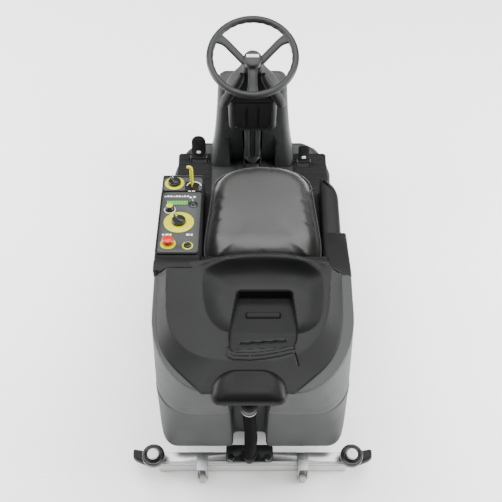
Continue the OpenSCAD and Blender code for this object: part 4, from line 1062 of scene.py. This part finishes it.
def controls():
    dress("control_panel", "control_panel_sheet", panel_grey, "machine", 0.8)
    dress("dial_discs", "yellow_dial_rings", lemon, "machine", 0.7)
    selector, water, info = on_panel(-268, -62), on_panel(-297, 153), on_panel(-305, 5)
    lock_at, window, lever = on_panel(-221, 34), on_panel(-280, 43), on_panel(-230, 134)
    knob("programme_selector", selector @ Matrix.Rotation(0.7, 4, "Z"), 26, 3.4, 15, "selector", "selector_knob")
    knob("water_dosing_knob", water @ Matrix.Rotation(0.5, 4, "Z"), 25, 2.4, 12, "water", "water_knob")
    knob("info_wheel", info, 17, 0.4, 11, "info", "info_knob", grip=False)
    dot = lathe([(11, 20), (12, 21), (12, 23.4), (10.4, 25), (6, 25.6), (2, 25.8)], info, 32)
    stalk = lathe([(16, 10), (15, 13), (12.6, 18), (12.4, 21)], info, 36)
    name_up(stalk, "info_wheel_stalk", gloss_black, "info")
    ring = lathe([(18.4, 0), (21, 0.2), (21, 2.4), (19.6, 3.2), (18.6, 2.6)], info, 40, caps=False)
    name_up(ring, "info_wheel_ring", pale_inlay, "machine")
    name_up(dot, "info_wheel_cap", lemon, "info")
    stop = lathe([(8, -10), (11, -8), (11, 13), (16, 13.2), (20, 14), (21, 17), (20.6, 22), (18, 26), (13, 28.4),
                  (6, 29)], on_panel(-300, -171), 48)
    name_up(stop, "stop_mushroom", signal_red, "stop", "emergency_stop")
    horn = lathe([(8, -9), (13, -8), (13, 6), (12, 8), (10, 9), (9.4, 8.2), (4, 7.6)], on_panel(-230, -180), 40)
    name_up(horn, "horn_push_button", gloss_black, "horn", "horn_button")
    lock = lathe([(10.2, 0), (17.5, 0.2), (17.5, 2.4), (15.6, 4), (12, 4.6), (9, 4.8), (8.6, 3), (5, 2.8)],
                 lock_at, 36)
    name_up(lock, "lock_bezel", gloss_black, "machine")
    shank = slab(-2, 2, -4, 4, 3, 12, 1.4, 0.4)
    bow = slab(-11, 11, -3, 3, 0, 19, 2, 0.8)
    bow = put(bow, at(0, 0, 10) @ Matrix.Rotation(math.pi / 2, 4, "Z"))
    stem = lathe([(3, -10), (3, 8)], None, 20)
    name_up(put(join(shank, bow, stem), lock_at), "key_blade_and_bow", zinc, "key", "operator_key")
    bezel = slab(-40, 40, -12, 12, 0, 1.6, 4, 0.6, window)
    name_up(bezel, "display_bezel", panel_grey, "machine", "display")
    glass = slab(-38, 38, -10, 10, 1.2, 2.4, 1.5, 0.4, window)
    name_up(glass, "display_glass", lcd, "machine")
    # plain blocks stand where the printed words are
    marks = [slab(-330 + 10.5 * i, -322.5 + 10.5 * i, 78, 86 if i % 3 else 83, 0, 0.8, 0.8, 0.2) for i in range(9)]
    marks += [slab(x, x + w, y, y + h, 0, 0.8, 0.8, 0.2) for x, y, w, h in (
        (-222, 74, 9, 9), (-236, 72, 8, 8), (-324, -133, 7, 9), (-312, -133, 12, 9), (-297, -133, 6, 9),
        (-238, -133, 12, 9), (-222, -133, 7, 9))]
    marks += [slab(x, x + w, 105.5, 109.5, 3.4, 4.6, 0.8, 0.2) for x, w in ((-242, 9), (-228, 11))]
    name_up(put(join(*marks), on_panel(0, 0)), "panel_marks", pale_inlay, "machine")
    gate = slab(-25, 25, -31, 27, 0, 4, 9, 1.6)
    cut(gate, block((-5.5, 5.5), (-22, 14), (-8, 12), 0))
    cheeks = [block((s * 12 - 3, s * 12 + 3), (-12, 10), (-62, 1), 1) for s in (-1, 1)]
    pin = lathe([(4, -12), (4, 12)], at(0, 0, -52) @ TO_RIGHT, 20)
    name_up(put(join(gate, pin, *cheeks), lever), "lever_gate_plate", shell_black, "machine", "lever_gate")
    turns = [math.radians(12 + 8 * i) for i in range(21)]
    arc = tube([(8 + 27 * math.cos(a), -3 + 27 * math.sin(a), 3.4) for a in turns], 2.1, 8)
    name_up(put(arc, lever), "lever_arc_mark", pale_inlay, "machine")
    hub = lathe([(4.1, -7), (9, -7), (9, 7), (4.1, 7)], TO_RIGHT, 32)
    blade = block((-3, 3), (-5, 5), (2, 122), 1.2)
    handle = tube([(0, 0, 60), (0, 0, 64), (0, 0, 104), (0, 0, 126), (-1.5, 0, 132), (-5, 0, 135.5),
                   (-10, 0, 136.5), (-17, 0, 136)], [4.5, 6.4, 6.6, 6.6, 6.6, 6.6, 6.6, 4.5], 20)
    stick = put(join(hub, blade, handle), lever @ at(0, 0, -52) @ Matrix.Rotation(math.radians(-6), 4, "X"))
    name_up(stick, "yellow_squeegee_lever", lemon, "lever", "squeegee_lever", smooth=45)


# ---- wheels ----
def wheel_tyre(x, y, r, w, bore, name, body, node, blocks):
    """A solid tyre with shoulder radii, grooves round it and short sipes across the shoulders."""
    h = w / 2
    profile = [(bore, -h + 3), (bore + 5, -h), (r - 12, -h + 0.4), (r - 4, -h + 4), (r - 0.6, -h + 9),
               (r, -h + 13)]
    for g in ((-0.34, 0.0, 0.34) if w > 60 else (0.0,)):
        c = g * w * 0.62
        profile += [(r, c - 2.6), (r - 3, c - 1.6), (r - 3, c + 1.6), (r, c + 2.6)]
    profile += [(r, h - 13), (r - 0.6, h - 9), (r - 4, h - 4), (r - 12, h - 0.4), (bore + 5, h), (bore, h - 3)]
    rings = []
    for rad, across in profile:
        shoulder = abs(across) > h - 14 and rad > r - 13
        rings.append(wavy(blocks * 4, across, lambda i: rad - (1.8 if shoulder and i % 4 == 0 else 0)))
    rings.append(rings[0])
    part = put(weld(skin(rings, caps=False)), at(x, y, r) @ TO_RIGHT)
    name_up(part, name, tyre_black, body, node)


def wheels():
    wheel_tyre(0, 655, 100, 70, 62.2, "drive_tyre_tread", "drive_wheel", "front_tyre", 36)
    wheel_tyre(-260, -420, 150, 70, 105.2, "rear_left_tread", "rear_wheel_left", "rear_tyre_left", 48)
    wheel_tyre(260, -420, 150, 70, 105.2, "rear_right_tread", "rear_wheel_right", "rear_tyre_right", 48)
    dress("rear_rim_left", "rear_left_rim", cast_alloy, "rear_wheel_left", 1.5)
    dress("rear_rim_right", "rear_right_rim", cast_alloy, "rear_wheel_right", 1.5)
    dress("drive_hub", "drive_wheel_hub", cast_alloy, "drive_wheel", 1.5)
    dress("steering_fork", "steering_fork_yoke", powder_coat, "fork", 1.2)


# ---- hose fittings at the back ----
def screw_cap(profile, bar, place):
    """A cap with 18 finger grooves, as deep as its profile's third values say, and a bar across it."""
    rings = [wavy(72, h, lambda i: r - bite * (i % 4 < 2)) for r, h, bite in profile]
    return put(join(skin(rings), bar), place)


def rear_fittings():
    cuff = lathe([(24, -62), (27.2, -61.4), (28, -60), (28, -54), (26, -52.6), (26, -48), (27.4, -46),
                  (27.8, -20), (28, 0)], ELBOW, 48)
    stub = tube([(REAR_X, y, z) for y, z in ((-680, 590), (-680, 606), (-677, 611), (-668, 612), (-648.4, 610))],
                [27.6, 28, 28, 28, 28], 40)
    cap = lathe([(28.2, -18), (29.6, -17), (29.6, -2), (28, 4), (24, 12), (18, 18), (9, 22), (2, 23.6)], ELBOW, 48)
    name_up(join(cuff, stub), "hose_elbow_cuff", tank_grey, "machine", "hose_elbow", smooth=45)
    name_up(cap, "hose_elbow_cap", rubber_black, "machine", smooth=45)
    collar = lathe([(24.5, -61.9), (27.9, -61.9), (28.6, -60), (28.6, -55), (27.9, -53.4)], ELBOW, 48, caps=False)
    name_up(collar, "hose_elbow_ring", zinc, "machine")
    drain = screw_cap([(26, -19, 0), (27, -18, 0), (27, -1, 0), (32, 0, 0), (33, 1.5, 1.2), (33, 8, 1.2),
                       (31.5, 9.8, 0.6), (24, 10, 0), (22.6, 8.4, 0), (8, 8, 0)],
                      slab(-24, 24, -3, 3, 7, 10, 2.5, 0.8), at(-34, -668, 720) @ TO_REAR)
    name_up(drain, "drain_screw_cap", gloss_black, "machine", "drain_cap")
    filler = screw_cap([(33, 0.2, 0), (37.6, 0.2, 0), (39, 1.6, 1.4), (39, 19, 1.4), (37, 22.4, 0.6), (33, 23.6, 0),
                        (28, 23.6, 0), (26, 22, 0), (6, 21.6, 0)],
                       slab(-6, 6, -33, 33, 20, 31.4, 5, 2.5), at(-275, 215.4, 430) @ TO_FRONT)
    name_up(filler, "filler_screw_cap", gloss_black, "filler_cap", "fill_cap")


def latches():
    for s, side in ((-1, "left"), (1, "right")):
        x = s * 336
        eye = lathe([(3.1, -12), (5.5, -12), (5.5, 12), (3.1, 12)], at(x, -555, 546) @ TO_REAR, 24)
        strap = block((x - 3, x + 3), (-567, -543), (550, 600), 1.2)
        tip = block((x - 6, x + 6), (-567, -543), (590, 608), 3)
        out = x + s * 3
        ribs = [block((out - 1.4, out + 1.4), (-564, -546), (558 + 8 * i, 561 + 8 * i), 0.6) for i in range(4)]
        name_up(join(eye, strap, tip, *ribs), f"tank_latch_{side}_strap", lemon, f"latch_{side}", f"tank_latch_{side}")


# ---- brush deck ----
def brushes():
    for x, side in ((-163, "left"), (163, "right")):
        place = at(x, 40)
        plate = lathe([(60, 33.6), (149, 33.6), (151, 35), (151, 45), (148, 48), (70, 48), (41, 50), (40, 57),
                       (36, 58), (12, 58), (12, 99), (10, 100)], place, 72)
        ribs = [put(block((40, 146), (-2, 2), (46, 53), 1), place @ Matrix.Rotation(math.pi / 4 * i, 4, "Z"))
                for i in range(8)]
        name_up(join(plate, *ribs), f"brush_{side}_plate", battery_grey, f"disc_brush_{side}", f"brush_{side}")
        rings = []
        for r, z in ((64, 33.8), (64, 4), (66, 1), (70, 0.4), (153, 0.4), (157, 1), (158.6, 3), (150, 33.8)):
            wave = 1.3 if z < 10 else 0.2
            rings.append(wavy(144, z, lambda i: r + wave * (i % 2)))
        rings.append(rings[0])
        ring = weld(skin(rings, caps=False))
        name_up(put(ring, place), f"brush_{side}_bristles", bristle, f"disc_brush_{side}")
    dress("brush_deck", "brush_deck_hood", powder_coat, "deck", 1.5)
    dress("brush_motors", "brush_motor_cans", battery_grey, "deck", 2)
    dress("lift_arm_front", "front_lift_arm", powder_coat, "lift_front", 0.8)
    dress("lift_arm_rear", "rear_lift_arm", powder_coat, "lift_rear", 0.8)


# ---- squeegee ----
def squeegee():
    dress("squeegee_body", "squeegee_channel", brushed_steel, "squeegee", 0.8)
    dress("squeegee_blades", "squeegee_blade_pair", blade_rubber, "squeegee", 0.5)
    dress("squeegee_arm", "squeegee_lift_arm", powder_coat, "squeegee", 1.5)
    dress("caster_brackets", "caster_forks", zinc, "squeegee", 0.8)
    parts = []
    for s in (-1, 1):
        plan = [(372.2, -726), (418, -724), (456, -709), (468, -699), (470, -684), (469, -670), (462, -668),
                (428, -674), (372.2, -678)]
        rings = []
        for z, k in ((68, 1.5), (70, 0), (98, 0), (104, 1), (106, 3.5)):
            rings.append([(s * (x - (k if x > 400 else -k)), y + (k if y < -700 else -k), z) for x, y in plan])
        parts.append(skin(rings))
        parts.append(block((s * 384 - 26, s * 384 + 26), (-734, -684), (101, 108), 2.5))
        parts.append(lathe([(26, 105), (20, 112), (20, 125.4), (10, 125.5), (10, 160.5), (15, 160.6), (15, 166),
                            (12, 168), (3, 168)], at(s * 384, -708), 40))
    nozzle = lathe([(22, 103.5), (27, 103.5), (27, 128), (29, 130), (29, 140), (27, 142), (26.4, 148), (22.4, 148),
                    (22, 140), (22, 103.5)], at(REAR_X, -699), 48, caps=False)
    name_up(join(nozzle, *parts), "squeegee_end_pieces", shell_black, "squeegee", "squeegee_ends")
    for s, side in ((-1, "left"), (1, "right")):
        place = at(s * 384, -708)
        roller = lathe([(10.2, 126.4), (40, 126.2), (43, 127.5), (44, 131), (44, 150), (42.6, 154), (38, 156),
                        (35, 156.4), (31, 154), (22, 153), (20, 159.6), (16, 160), (10.2, 159.8), (10.2, 126.4)],
                       place, 72, caps=False)
        name_up(weld(roller), f"bumper_roller_{side}", gloss_black, f"roller_{side}", f"deflector_{side}")
        disc = lathe([(15.5, 159.9), (20.5, 160), (21.5, 160.6), (21.5, 162), (20, 162.8), (16, 163)], place, 48,
                     caps=False)
        name_up(disc, f"bumper_roller_{side}_disc", pale_inlay, f"roller_{side}")
        hub = lathe([(20, 166.6), (20, 168.6), (18.6, 169.8), (4, 170.2)], place, 48)
        name_up(hub, f"roller_hub_cap_{side}", pale_inlay, "squeegee")
        half = [(4.1, 15), (9.6, 15), (10, 12), (17, 11), (21.4, 12), (23.4, 10), (24, 7)]
        wheel = lathe([(r, -h) for r, h in half] + half[::-1] + [(4.1, -15)], at(s * 197, -752, 24) @ TO_RIGHT, 48,
                      caps=False)
        name_up(weld(wheel), f"castor_wheel_{side}", caster_grey, f"caster_{side}", f"caster_wheel_{side}")
    knobs = []
    for s in (-1, 1):
        n, lobes = 60, 5
        rings = []
        for r, z, bite in ((4.5, 104, 0), (4.5, 114, 0), (11, 114.5, 0), (11, 124, 0), (14, 127, 2), (15, 130, 2.6),
                           (15, 140, 2.6), (13, 143.4, 1.6), (4, 144, 0)):
            rings.append(wavy(n, z, lambda i: r - bite * (0.5 - 0.5 * math.cos(2 * lobes * math.pi * i / n))))
        knobs.append(put(skin(rings), at(REAR_X + s * 72, -713)))
    name_up(join(*knobs), "squeegee_star_knobs", gloss_black, "squeegee", "clamp_knobs")


def under_parts():
    dress("chassis_frame", "chassis_rails", powder_coat, "machine", 1.5)
    dress("battery_pack", "battery_blocks", battery_grey, "machine", 1.5)
    dress("suction_turbine", "turbine_can", battery_grey, "machine", 1.5)
    dress("foot_mats", "ribbed_foot_mats", rubber_black, "machine", 0.6)
    dress("seat_pan", "seat_pan_plate", powder_coat, "seat", 1)
    dress("steering_shaft", "steering_inner_shaft", zinc, "steering", 0.5)


for build in (fresh_water_tank, recovery_tank, tank_lid, rear_cap, seat_console, seat_cushion, footboard, front_tower,
              column_parts, steering_wheel, pedals, controls, wheels, rear_fittings, latches, brushes, squeegee,
              under_parts):
    build()

clear()
